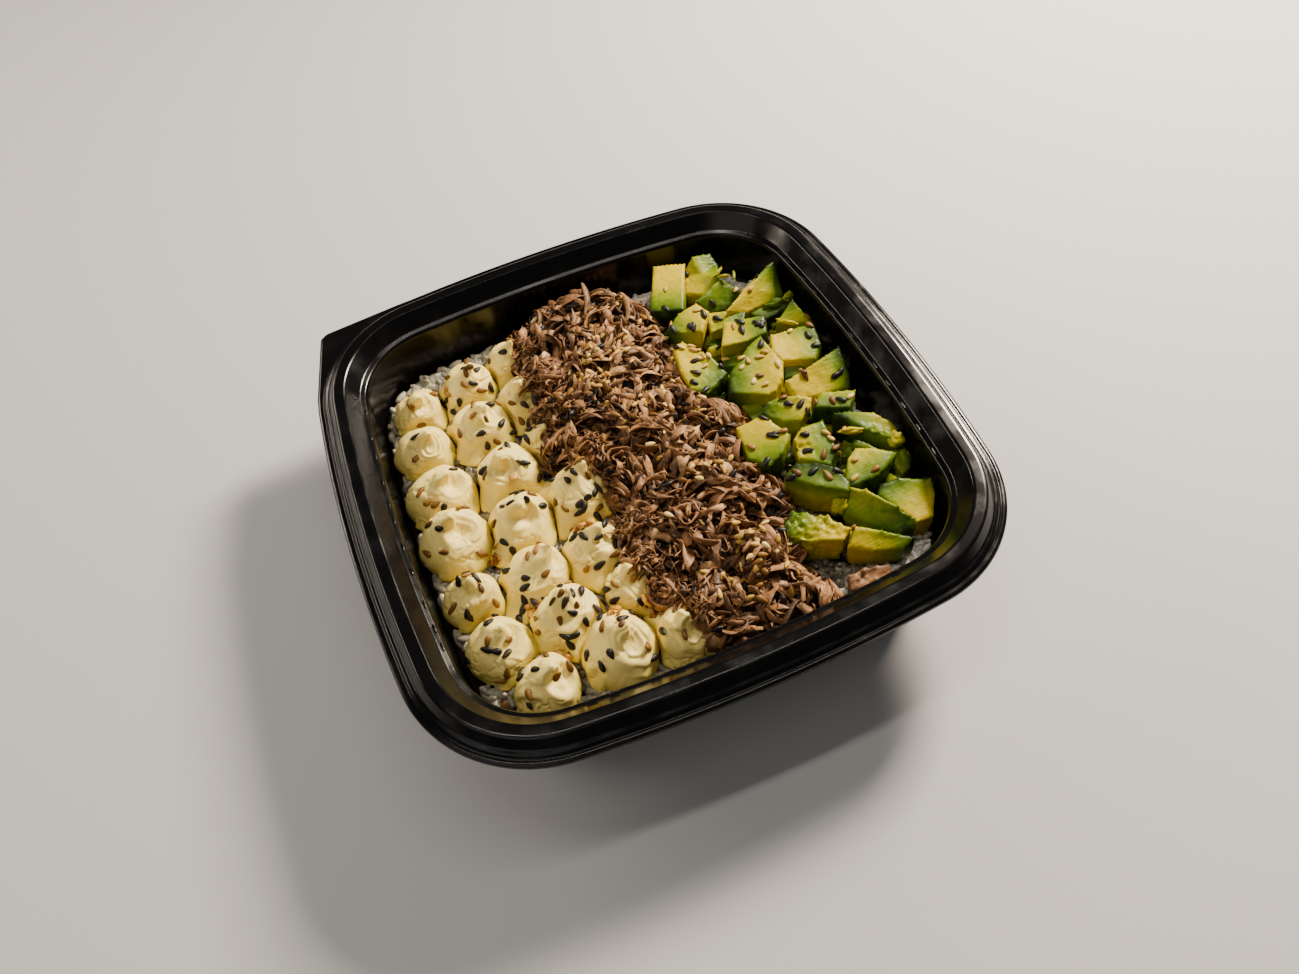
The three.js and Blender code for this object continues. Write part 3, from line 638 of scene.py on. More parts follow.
def cream_material(light, shade_and_blotch):
    """Soft cream cheese, piped: dense, slightly translucent, satin, with stretch lines round a peak."""
    material, tree, shader, place, seam, around = new_material("cream cheese", "seam", "around")
    cloud = add(tree, "TexNoise", {"Vector": place, "Scale": per(7), "Detail": 3.0})
    blotch = add(tree, "Math", {0: cloud, 1: 0.35}, operation="MULTIPLY")
    # painted shade: the seams between dollops and their low parts are mixed towards the darker, warmer
    # colour; the noise blotches add real tone
    shade_and_blotch_share = add(tree, "Math", {0: seam, 1: blotch}, operation="ADD", use_clamp=True)
    colour = add(tree, "Mix", {"Factor": shade_and_blotch_share, "A": light, "B": shade_and_blotch}, data_type="RGBA")
    lines = add(tree, "Math", {0: around, 1: 2 * math.pi / STRETCH_SPACING}, operation="MULTIPLY")
    wave = add(tree, "Math", {0: lines}, operation="SINE")
    mask = add(tree, "TexNoise", {"Vector": place, "Scale": per(5), "Detail": 1.0})
    shown = add(
        tree, "MapRange",
        {"Value": mask, "From Min": 0.48, "From Max": 0.72, "To Min": 0.0, "To Max": 0.5},
    )
    fine = add(tree, "TexNoise", {"Vector": place, "Scale": per(0.9), "Detail": 4.0})
    stretch = add(tree, "Math", {0: wave, 1: shown, 2: fine}, operation="MULTIPLY_ADD")
    bump = add(tree, "Bump", {"Height": stretch, "Distance": 0.07 * MM, "Strength": 0.8})
    set_inputs(
        shader, Base_Color=colour, Roughness=0.46, IOR=1.45, Specular_IOR_Level=0.4,
        Subsurface_Weight=0.15, Subsurface_Radius=(0.8, 0.72, 0.4), Subsurface_Scale=2.0 * MM, Normal=bump,
    )
    return material


def make_cream_cheese(settings):
    """The dollops, each with its own peak and folds, pressed against one another."""
    material = cream_material(settings.light, settings.shade_and_blotch)
    for i, dollop in enumerate(DOLLOPS):
        bm = bmesh.new()
        bmesh.ops.create_icosphere(bm, subdivisions=settings.fineness, radius=1)
        seam = bm.verts.layers.float.new("seam")
        around = bm.verts.layers.float.new("around")
        tool = Vector((i * 7.3, i * 3.1, i * 5.7))
        for v in bm.verts:
            v.co, v[around] = dollop_point(dollop, v.co.copy(), settings.fold_depth / MM, tool)
            near = press(v.co, dollop, i, settings.softness / MM)
            # painted shade: the seam value rises near a seam and low down, where the material paints the
            # cream darker and warmer
            low = smooth((FOOD_FLOOR + 8 - v.co.z) / 8)
            v[seam] = min(1.0, 0.7 * math.exp(-near / 1.5) + 0.6 * low)
            v.co.z = max(v.co.z, FOOD_FLOOR)
        eased(bm, 0.2)
        node = f"cream_cheese_{i + 1:02d}"
        finished(bm, f"dollop_{i + 1:02d}", material, [node])


# ---- avocado ----
Chunk = namedtuple("Chunk", "skin lift rough black toasted pale top")
CHUNKS = (
    Chunk(150, 5, 0.3, 1, 1, 3, ((35, 5.5, 34), (40, 3.5, 33.5), (46, 0.5, 33), (49, 1, 33),
          (53, 4, 34), (56, 9.5, 35), (55, 14, 35.5), (54, 22.5, 36), (48, 20, 36), (38.5, 13, 35))),
    Chunk(-100, 0, 0.2, 4, 1, 0, ((28.5, -21, 34), (33, -26.5, 34), (38, -24.5, 35),
          (43.5, -19.5, 35.5), (40.5, -12, 36), (38, -9, 36), (30, -9.5, 35))),
    Chunk(60, 68, 0.2, 3, 2, 0, ((41.5, -40.5, 35.5), (49.5, -46, 35), (51.5, -43.5, 35),
          (49.5, -37.5, 36), (45, -33, 36), (40, -30.5, 35.5), (35.5, -33, 35))),
    Chunk(0, 10, 0.2, 1, 0, 0, ((50, 40.5, 34.5), (57.5, 40.5, 30), (73.5, 43.5, 29), (74.8, 50, 32),
          (74.9, 54, 36), (59.5, 46, 35.5))),
    Chunk(-110, 0, 0.1, 1, 0, 1, ((26.5, 53.5, 33), (37, 49.5, 33), (46.5, 69.5, 34), (36, 73, 34))),
    Chunk(-20, 5, 0.3, 5, 0, 1, ((41.5, 26, 34), (50, 24.5, 34), (57.5, 25, 34), (60.5, 32, 34.5),
          (46.5, 35, 34.5))),
    Chunk(180, 5, 0.3, 5, 0, 2, ((27.5, 41.5, 34), (32, 39, 33), (38.5, 36.5, 33), (44, 43, 34),
          (41.5, 48, 35), (34, 46, 35))),
    Chunk(-45, 10, 0.6, 6, 0, 2, ((24.5, 22, 34), (24.5, 14, 33), (28, 10.5, 32), (38.5, 16, 32),
          (36, 24, 34), (30, 34, 34), (26, 32, 34))),
    Chunk(0, 5, 0.2, 2, 1, 1, ((57, 11.5, 33), (67.5, 8.5, 32), (72, 13, 32.5), (73.5, 21.5, 34),
          (58.5, 23, 34), (55.5, 16, 34))),
    Chunk(0, 5, 0.2, 2, 2, 0, ((54.5, -4, 31), (62, -5, 30), (73, -5.5, 29), (74.5, -2, 31),
          (75.5, 7, 35), (64.5, 4, 35), (53.5, 2, 34))),
    Chunk(70, 20, 0.2, 0, 1, 0, ((75, 25, 31), (72.5, 34.5, 35), (64.5, 30, 31))),
    Chunk(-110, 0, 0.2, 1, 2, 1, ((66.5, -16.5, 33.5), (71.5, -11.5, 34), (61.5, -7.5, 34),
          (56.5, -11.5, 33.5))),
    Chunk(200, 15, 0.5, 1, 0, 0, ((66.5, -27, 34), (73.5, -35, 33.5), (76.5, -32.5, 32), (75.5, -27, 33),
          (72, -22.5, 34), (65.5, -18.5, 34), (61, -17, 34))),
    Chunk(-30, 15, 0.4, 2, 2, 0, ((43, -27.5, 33), (50.5, -33.5, 32.5), (55, -29.5, 33), (56, -18, 34.5),
          (48.5, -18.5, 34.5), (44.5, -21, 34))),
    Chunk(-90, 0, 0.2, 0, 1, 2, ((52, -41, 33), (52, -44, 32.5), (61.5, -43.5, 33), (70.5, -39, 33.5),
          (65, -35, 34), (60, -32.5, 34), (56, -35, 34))),
    Chunk(120, 10, 0.9, 1, 0, 0, ((30.5, -55.5, 33), (40.5, -59.5, 33), (44, -57.5, 33.5),
          (40, -51, 34.5), (31, -44.5, 34.5), (27, -48, 34), (26.5, -51.5, 33.5))),
    Chunk(10, 5, 0.3, 1, 0, 0, ((42.5, 59, 30), (48, 54, 31), (54, 56.5, 35), (58, 66, 32),
          (57, 70, 34), (50, 70, 35.5), (45, 67, 31))),
    Chunk(180, 20, 0.4, 3, 1, 0, ((46, -10.5, 31), (51, -12.5, 31), (56, -9.5, 32), (58, -7, 33),
          (54, -5, 34), (48, -2.5, 33.5), (44, -3, 33.5), (41, -5.5, 32))),
    Chunk(-120, 15, 0.5, 0, 0, 0, ((55, -58.5, 28), (58.5, -62.5, 28), (62.5, -63, 29), (64, -61, 30.5),
          (60.5, -57, 34), (55, -47.5, 34), (51.5, -44.5, 33), (47.5, -49, 29))),
    Chunk(100, 25, 0.3, 0, 0, 0, ((61.5, -56.5, 31), (64.5, -62, 30), (70, -62, 29.5), (74, -56, 30.5),
          (75, -51.5, 32), (66.5, -47.5, 33), (60.5, -47.5, 32.5), (58.5, -50, 32))),
    Chunk(20, 5, 0.3, 0, 1, 0, ((48, -65, 29.5), (56, -68, 29.5), (60, -67, 31), (52.5, -61.5, 32.5),
          (46, -57, 32.5), (42, -61, 30))),
    Chunk(-70, 20, 0.3, 1, 0, 0, ((42.5, 50, 34), (46, 47, 29), (52, 46.5, 28), (60, 52, 30),
          (55, 56, 34.5))),
    Chunk(-40, 5, 0.4, 2, 0, 0, ((42, 36.5, 31), (54.5, 36.5, 31), (57, 40, 31), (51, 42, 32),
          (44, 44.5, 32))),
    Chunk(-90, 10, 0.3, 0, 0, 0, ((63.5, 36.5, 27.5), (72, 37.5, 27.5), (75.5, 40, 28.5),
          (73, 42.5, 28.5), (58, 41.5, 28.5))),
    Chunk(60, 5, 0.3, 0, 0, 0, ((61, -29, 31), (64.5, -32, 31), (68, -35, 31.5), (63, -27, 31.5))),
    Chunk(0, 5, 0.5, 0, 0, 0, ((70, -40, 29), (71, -43.5, 28), (74, -42.5, 28), (75.5, -39, 29),
          (75.5, -35.8, 30), (71.5, -35.8, 30))),
    Chunk(180, 5, 0.4, 0, 0, 2, ((40, 22, 28), (46.5, 20, 28), (48.5, 28, 29), (43, 26.5, 29))),
    Chunk(-90, 5, 0.4, 0, 0, 0, ((38.5, -3.5, 28), (44.5, -1.5, 28), (44, 4, 29), (38, 3.5, 28))),
    Chunk(-90, 5, 0.4, 0, 0, 1, ((56, 7.5, 29), (60, 6.5, 29), (63.5, 8, 29), (63, 11, 30),
          (57.5, 11, 30))),
    Chunk(-60, 5, 0.4, 0, 0, 0, ((57, -30, 29), (59, -33, 29), (63, -29.5, 30), (60, -27.5, 30))),
)
# Soft lobes and sprigs that hang on the pieces: x, y, z, length, width, heading, depth below the peel.
LOBES = (
    (54.8, 57.9, 36, 4.5, 1.3, 30, 10), (56.1, 55.5, 35.5, 4, 1.2, -20, 11),
    (60.3, 56.3, 33.5, 4, 1.1, 65, 7), (73.9, 39.9, 30.8, 4.6, 3.2, 20, 6),
    (68.5, 40.6, 29, 9, 3.4, -5, 2.5), (65.8, 25.4, 34.9, 7.5, 1.5, -48, 12),
    (73.6, -33.8, 32.6, 5.6, 4.6, 60, 9), (74.6, -38, 27.6, 7, 4.4, 80, 5),
    (47, -46.6, 29.8, 5.5, 4.4, 20, 8), (62.5, -25.2, 33.4, 7.5, 2.2, -25, 11),
)
BITS_ACROSS = (24, 77)
BITS_ALONG = (-67, 74)
BIT_LOOK = 5.5  # distance at which cut pieces stand round an offcut
SKIN_BULGE = 1.0
CHUNK_DRAFT = 0.9
FRUIT_RADIUS = 30  # of the whole avocado, round which its colours lie in shells
SHRINKAGE = 0.35  # made good after edges are worn round
FLAKE = ((37, -72.5, 26), (43, -74.5, 25.5), (50, -73.5, 25), (50.5, -70, 26.5), (44, -68, 27.5),
         (38, -68.5, 27))


def chunk_rings(top, skin):
    """Rings of a cut piece from its top to the floor, bulging on the side of the skin."""
    top = [Vector(p) for p in top]
    middle = sum(top, Vector()) / len(top)
    facing = compass(math.radians(skin)).xy
    rings = []
    for share, bulge, draft in ((0, 0, 0), (0.45, SKIN_BULGE, 0), (1, 0, CHUNK_DRAFT)):
        ring = []
        for p in top:
            out = Vector((p - middle).xy).normalized()
            shift = out * (bulge * max(0.0, out.dot(facing)) - draft)
            height = p.z + (FOOD_FLOOR - p.z) * share
            ring.append(Vector((p.x + shift.x, p.y + shift.y, height)))
        rings.append(ring)
    return rings


def skinned(rings):
    """Closed bmesh through rings of equal count, with its top as a low fan."""
    bm = bmesh.new()
    loops = []
    for ring in rings:
        row = [bm.verts.new(p) for p in ring]
        loops.append([bm.edges.new((row[i - 1], row[i])) for i in range(len(row))])
    for upper, lower in zip(loops, loops[1:]):
        bmesh.ops.bridge_loops(bm, edges=upper + lower)
    caps = [bmesh.ops.contextual_create(bm, geom=loops[k])["faces"][0] for k in (0, -1)]
    bmesh.ops.poke(bm, faces=caps)
    outward(bm)
    return bm


def cut_piece(rings, voxel, rough, tool):
    """A soft piece cut with a knife: even faces, edges a little rolled, and worn where it is mushy."""
    bm = remeshed(skinned(rings), voxel)
    eased(bm, 0.5)
    bm.normal_update()
    for v in bm.verts:
        soft = noise.noise(v.co * 0.14 + tool)
        crumbs = noise.noise(v.co * 0.55 - tool) + 0.5 * noise.noise(v.co * 1.1 + tool)
        mush = smooth(1.5 * rough - 0.9 + 1.6 * noise.noise(v.co * 0.12 - tool * 2))
        relief = SHRINKAGE + 0.35 * soft + 0.1 * crumbs + mush * (1.0 * crumbs - 0.5)
        v.co += v.normal * relief
        v.co.z = max(v.co.z, FOOD_FLOOR)
    return bm


def avocado_material(settings):
    """Ripe avocado flesh, cut and moist: yellow inside, then fresh green, dark green under its peel."""
    material, tree, shader, place, depth = new_material("avocado flesh", "depth")
    drift = add(tree, "TexNoise", {"Vector": place, "Scale": per(4), "Detail": 3.0})
    shift = add(
        tree, "MapRange",
        {"Value": drift, "From Min": 0.3, "From Max": 0.7, "To Min": -1.0, "To Max": 1.0},
    )
    level = add(tree, "Math", {0: depth, 1: shift}, operation="ADD")
    share = add(tree, "Math", {0: level, 1: 13.0}, operation="DIVIDE", use_clamp=True)
    ramp = add(
        tree, "ValToRGB", {"Fac": share},
        stops=(
            (0.0, settings.skin), (0.12, settings.green), (0.38, settings.lime),
            (0.68, settings.yellow), (1.0, settings.heart),
        ),
    )
    fleck = add(tree, "TexNoise", {"Vector": place, "Scale": per(1.4), "Detail": 5.0})
    fleck_share = add(
        tree, "MapRange",
        {"Value": fleck, "From Min": 0.5, "From Max": 0.75, "To Min": 0.0, "To Max": 0.3},
    )
    colour = add(tree, "Mix", {"Factor": fleck_share, "A": ramp, "B": settings.green}, data_type="RGBA")
    moist = add(
        tree, "MapRange",
        {"Value": drift, "From Min": 0.35, "From Max": 0.65, "To Min": 0.34, "To Max": 0.55},
    )
    drawn = add(tree, "Mapping", {"Vector": place, "Rotation": (0.5, 0.3, 0.9), "Scale": (1, 9, 1)})
    streak = add(tree, "TexNoise", {"Vector": drawn, "Scale": per(7), "Detail": 2.0})
    cut = add(tree, "Bump", {"Height": streak, "Distance": 0.25 * MM, "Strength": 0.6})
    bump = add(tree, "Bump", {"Height": fleck, "Distance": 0.12 * MM, "Strength": 0.7, "Normal": cut})
    set_inputs(
        shader, Base_Color=colour, Roughness=moist, IOR=1.42,
        Subsurface_Weight=0.05, Subsurface_Radius=(0.9, 1.0, 0.25), Subsurface_Scale=1.5 * MM,
        Coat_Weight=0.05, Coat_Roughness=0.12, Specular_IOR_Level=0.2, Normal=bump,
    )
    return material


def make_avocado(settings):
    """The cut pieces of avocado, each shaded from the side where its peel was."""
    material = avocado_material(settings)
    for i, chunk in enumerate(CHUNKS):
        tool = Vector((i * 4.7, i * 9.1, 3))
        bm = cut_piece(chunk_rings(chunk.top, chunk.skin), settings.fineness / MM, chunk.rough, tool)
        turn, lift = math.radians(chunk.skin), math.radians(chunk.lift)
        peel = Vector((math.cos(turn) * math.cos(lift), math.sin(turn) * math.cos(lift), math.sin(lift)))
        middle = sum((Vector(p) for p in chunk.top), Vector()) / len(chunk.top)
        reach = max((v.co - middle).dot(peel) for v in bm.verts)
        core = middle + peel * (reach - FRUIT_RADIUS)
        ripeness = 0.95 + 0.25 * noise.noise(middle * 0.37)
        depth = bm.verts.layers.float.new("depth")
        for v in bm.verts:
            v[depth] = max(0.0, FRUIT_RADIUS - (v.co - core).length) * ripeness
        finished(bm, f"chunk_{i + 1:02d}", material, [f"avocado_{i + 1:02d}"])
    make_avocado_bits(settings, material)


def make_avocado_bits(settings, material):
    """Small offcuts that fill the gaps between the cut pieces."""
    rng = random.Random(17)
    shapes = []
    for _ in range(6):
        bm = bmesh.new()
        bmesh.ops.create_cube(bm, size=1)
        for v in bm.verts:
            v.co = Vector([c * rng.uniform(0.7, 1.15) for c in v.co])
        bevelled(bm, bm.edges[:], 0.13, 1)
        shapes.append(template(bm))
    places, depths = [], []
    for _ in range(40 * settings.bits):
        if len(places) == settings.bits:
            break
        x, y = rng.uniform(*BITS_ACROSS), rng.uniform(*BITS_ALONG)
        if dropped(x, y)[0] != "rice_bed":
            continue
        around = [dropped(x + BIT_LOOK * math.cos(k), y + BIT_LOOK * math.sin(k))[0] for k in range(6)]
        if sum(name.startswith("chunk") for name in around) < 4:
            continue
        spot = Vector((x, y, FOOD_FLOOR + rng.uniform(1.5, 6)))
        lay = strayed(rng, 1, 0.5)
        size = [rng.uniform(3, 6.5), rng.uniform(2.5, 4.5), rng.uniform(2.5, 4.5)]
        places.append(frame_at(spot, lay, strayed(rng, 0.4, height=1), size))
        depths.append(rng.choice((0.4, 1.5, 3.0, 6.0, 9.0)))
    scattered("avocado_bits", shapes, places, depths, material, attribute="depth")
    shapes, places = [], []
    for i, (x, y, z, length, width, heading, _) in enumerate(LOBES):
        bm = bmesh.new()
        bmesh.ops.create_icosphere(bm, subdivisions=4, radius=0.5)
        tool = Vector((i * 5.3, 2, 7))
        for v in bm.verts:
            v.co *= 1 + 0.35 * noise.noise(v.co * 3 + tool) + 0.12 * noise.noise(v.co * 9 - tool)
            v.co.y += 0.3 * v.co.x ** 2
        shapes.append(template(bm))
        lay = compass(math.radians(heading), 0.1)
        places.append(frame_at((x, y, z), lay, (0, 0, 1), (length, width, width)))
    depths = [lobe[-1] for lobe in LOBES]
    scattered("avocado_lobes", shapes, places, depths, material, attribute="depth")


# ---- tuna ----
TUNA_NEAR = -74
TUNA_FAR = 75
TUNA_LEFT = ((-74, -6), (-58, -14), (-45, -15), (-25, -14), (-8, -11), (8, -24), (20, -26), (34, -22),
             (52, -22), (75, -20))
TUNA_RIGHT = ((-74, 32), (-62, 27), (-45, 30), (-30, 32), (-10, 32), (0, 35), (10, 26), (35, 24),
              (52, 26), (75, 20))
CORE_CELLS = (80, 240)
CLUMP_RISE = 4.8
CLUMP_RADIUS = 14
FURROW_WIDTH = 7
CORE_DEPTH = 5.9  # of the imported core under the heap's surface
WALL_LINE = -7.4  # the wall's inner face by the toppings, as an offset from the rim
ROSETTE_LIMIT = -13
TUNA_TOP = RIM_TOP - 2.5
TUNA_CREST = ((-74, 27), (-68, 31), (-40, 35), (0, 35.5), (40, 35.5), (66, 35.5), (75, 31))
Clump = namedtuple("Clump", "x y style heading tone")
# Places where the heap has spilled over the dollops beside it: x, y, spread, share in percent.
SPILLS = ((-19, 41, 5, 1.6), (-19, 25, 5, 2.2), (-15, -39, 4, 1.4), (-7, -61, 3, 1.0),
          (-15, -27, 4, 1.0), (-14, 6, 4, 1.0), (-20, 56, 4, 1.2), (-12, -50, 5, 1.2))


def tuna_height(x, y):
    """Height of the heap's surface."""
    left, right = along(TUNA_LEFT, y), along(TUNA_RIGHT, y)
    across = (2 * x - left - right) / (right - left)
    waves = 1.1 * math.sin(x * 0.31 + y * 0.17) + 1.0 * math.sin(y * 0.29 - x * 0.21 + 1.3)
    return FOOD_FLOOR + (along(TUNA_CREST, y) - FOOD_FLOOR) * (1 - 0.45 * abs(across) ** 3) + waves


def tuna_clumps(rng, count):
    """Clumps of the heap, well apart from one another, each with its own lay of shreds."""
    found = []
    for _ in range(count):
        best, best_gap = None, -1
        for _ in range(10):
            y = rng.uniform(TUNA_NEAR + 2, TUNA_FAR - 2)
            x = rng.uniform(along(TUNA_LEFT, y) + 1, along(TUNA_RIGHT, y) - 1)
            gap = min((math.hypot(c.x - x, c.y - y) for c in found), default=99)
            if gap > best_gap:
                best, best_gap = (x, y), gap
        style = rng.choice(("comb", "whorl", "whorl", "burst"))
        found.append(Clump(*best, style, rng.uniform(0, math.pi), rng.gauss(0, 0.07)))
    return found


def nearest_clump(clumps, x, y):
    """The clump a place belongs to, its distance, and how far the place is inside the clump's ground."""
    x += 2.2 * noise.noise(Vector((x, y, 0)) * 0.16)
    y += 2.2 * noise.noise(Vector((x, y, 9)) * 0.16)
    order = sorted((math.hypot(c.x - x, c.y - y), k) for k, c in enumerate(clumps))
    return clumps[order[0][1]], order[0][0], order[1][0] - order[0][0]


def tuna_core(clumps):
    """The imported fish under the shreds: clumps with furrows between them."""
    bm = bmesh.new()
    bmesh.ops.create_grid(bm, x_segments=CORE_CELLS[0], y_segments=CORE_CELLS[1], size=1)
    top = bm.faces[:]
    for v in bm.verts:
        y = TUNA_NEAR + (TUNA_FAR - TUNA_NEAR) * (v.co.y + 1) / 2
        left, right = along(TUNA_LEFT, y), along(TUNA_RIGHT, y)
        x = left + (right - left) * (v.co.x + 1) / 2
        _, distance, gap = nearest_clump(clumps, x, y)
        bump = CLUMP_RISE * smooth(gap / FURROW_WIDTH) * (1 - (distance / CLUMP_RADIUS) ** 2)
        bump += 0.8 * noise.noise(Vector((x, y, 0)) * 0.5)
        v.co = (x, y, max(FOOD_FLOOR + 0.6, tuna_height(x, y) - CORE_DEPTH + bump))
    base = bmesh.ops.extrude_face_region(bm, geom=top)
    lower = [g for g in base["geom"] if isinstance(g, bmesh.types.BMVert)]
    for v in lower:
        v.co.z = FOOD_FLOOR
    outward(bm)
    return bm


def ribbon(rng, length, width, thick, cells):
    """A thin curled sheet of fish along x, its sides drawn in at the ends and ruffled."""
    bm = bmesh.new()
    for v in sheet(bm, *cells):
        v.co.z = -thick
    bend, curl, twist = rng.uniform(0.3, 1.5), rng.uniform(-1.1, 1.3), rng.uniform(-0.9, 0.9)
    lobe, phase = rng.uniform(0.15, 0.45), rng.uniform(0, 6)
    for v in bm.verts:
        s, t = v.co.x, v.co.y
        side = t * width / 2 * (1 - 0.55 * abs(s) ** 3 + lobe * math.sin(3 * s + phase))
        lift = v.co.z * (1 - 0.5 * t * t) + curl * width * 0.35 * t * t
        lift += 0.22 * width * t * math.sin(2.3 * s + phase)
        turn = twist * s
        y = side * math.cos(turn) - lift * math.sin(turn)
        z = side * math.sin(turn) + lift * math.cos(turn)
        heading, radius = bend * s, length / (2 * bend)
        # rolled up like a shaving
        drop = radius * (1 - math.cos(heading))
        v.co = (math.sin(heading) * (radius - z), y, z * math.cos(heading) - drop)
    outward(bm)
    return template(bm)


def rosette(rng):
    """A sheet of fish stood on edge and wound up like a bud, with a ruffled upper edge."""
    bm = bmesh.new()
    for v in sheet(bm, 22, 2):
        v.co.z = -0.45
    turns, tall, phase = rng.uniform(1.0, 1.7), rng.uniform(2.4, 3.8), rng.uniform(0, 6)
    for v in bm.verts:
        s, t, skin = (v.co.x + 1) / 2, v.co.y, v.co.z
        turn = 2 * math.pi * turns * s
        radius = 0.8 + 3.3 * s + 0.5 * t + (0.3 + 0.25 * t) * math.sin(3.3 * turn + phase) + skin
        rise = tall / 2 * t * (1 - 0.3 * s) + 0.45 * math.sin(2.2 * turn + phase)
        v.co = (radius * math.cos(turn), 0.8 * radius * math.sin(turn), rise)
    outward(bm)
    return template(bm)


def fibre(rng, length, width, sides, steps):
    """A fibre of fish along x, round and tapered, that bends to one side."""
    bm = bmesh.new()
    bmesh.ops.create_cone(
        bm, cap_ends=True, cap_tris=False, segments=sides, radius1=1, radius2=1, depth=2,
        matrix=ALONG_X,
    )
    long_edges = [e for e in bm.edges if abs(e.verts[0].co.x - e.verts[1].co.x) > 1]
    bmesh.ops.subdivide_edges(bm, edges=long_edges, cuts=steps - 1)
    bend, kink = rng.uniform(0.2, 1.7), rng.uniform(-0.5, 0.5)
    for v in bm.verts:
        s = v.co.x
        taper = 1 - 0.65 * s ** 4
        y, z = v.co.y * width / 2 * taper, v.co.z * width / 2.6 * taper
        heading, radius = bend * s, length / (2 * bend)
        drift = radius * (1 - math.cos(heading))
        v.co = (math.sin(heading) * (radius - y), drift + y * math.cos(heading), z)
        v.co.z += kink * width * math.sin(4 * s)
    return template(bm)


def tuna_material(settings):
    """Canned tuna, drained and pulled apart: brown fibres, painted darker low down and in the furrows and
    paler on the highest shreds, as shade and light.
    """
    material, tree, shader, place, tone = new_material("pulled tuna", "tone")
    fibre_noise = add(tree, "TexNoise", {"Vector": place, "Scale": per(0.9), "Detail": 4.0})
    streak = add(
        tree, "MapRange",
        {"Value": fibre_noise, "From Min": 0.3, "From Max": 0.7, "To Min": -0.15, "To Max": 0.15},
    )
    level = add(tree, "Math", {0: tone, 1: streak}, operation="ADD", use_clamp=True)
    # painted light and shade: a low tone gives the dark colour of the furrows, a high one the pale of lit
    # shreds
    ramp = add(
        tree, "ValToRGB", {"Fac": level},
        stops=((0.0, settings.deep_shade), (0.35, settings.brown), (0.7, settings.tan), (1.0, settings.pale)),
    )
    bump = add(tree, "Bump", {"Height": fibre_noise, "Distance": 0.1 * MM, "Strength": 0.8})
    set_inputs(
        shader, Base_Color=ramp, Roughness=0.5, IOR=1.42, Specular_IOR_Level=0.4, Normal=bump,
    )
    return material


def tuna_lay(core, clumps, rng, count, reach, lift, on_edge):
    """Frames and tones for shreds that follow the lay of the clump they belong to, clear of the wall."""
    places, tones = [], []
    low, high = lift

    def clear(point, normal):
        if normal.z <= -0.2 or point.z <= FOOD_FLOOR + 1:
            return False
        return beyond_rim(point.x, point.y) < WALL_LINE - reach

    for point, normal in spots(core, count, rng, clear):
        clump, _, gap = nearest_clump(clumps, point.x, point.y)
        inside = smooth(gap / 5)
        if rng.random() > 0.35 + 0.8 * inside:
            continue
        bearing = math.atan2(point.y - clump.y, point.x - clump.x)
        heading = {"comb": clump.heading, "whorl": bearing + math.pi / 2, "burst": bearing}[clump.style]
        heading += rng.gauss(0, 0.4)
        direction = compass(heading, rng.gauss(0, 0.3))
        direction -= normal * direction.dot(normal) * 0.75
        direction.normalize()
        standing = direction.cross(normal)
        if standing.dot(compass(bearing)) > 0:
            standing.negate()
        if rng.uniform(0, 1) < on_edge:
            up = standing + normal * rng.uniform(0.1, 0.9)
        else:
            up = normal + standing * rng.uniform(-0.5, 0.5)
        rise = low + (high - low) * rng.random() ** 0.8 * (0.4 + 0.6 * inside)
        size = rng.uniform(0.7, 1.2)
        sizes = (size, size * rng.uniform(0.8, 1.2), size)
        share = (rise - low) / (high - low)
        # painted light and shade: shreds lifted higher and lying inside a clump are painted paler, those low
        # down and near the furrows darker; the clump's tone and the random spread are real variation
        tone = (0.1 + 0.65 * share) * (0.3 + 0.7 * inside) + clump.tone + rng.gauss(0, 0.1)
        if point.z + rise + abs(direction.z) * reach < TUNA_TOP:
            places.append(frame_at(point + normal * rise, direction, up, sizes))
            tones.append(tone)
    return places, tones


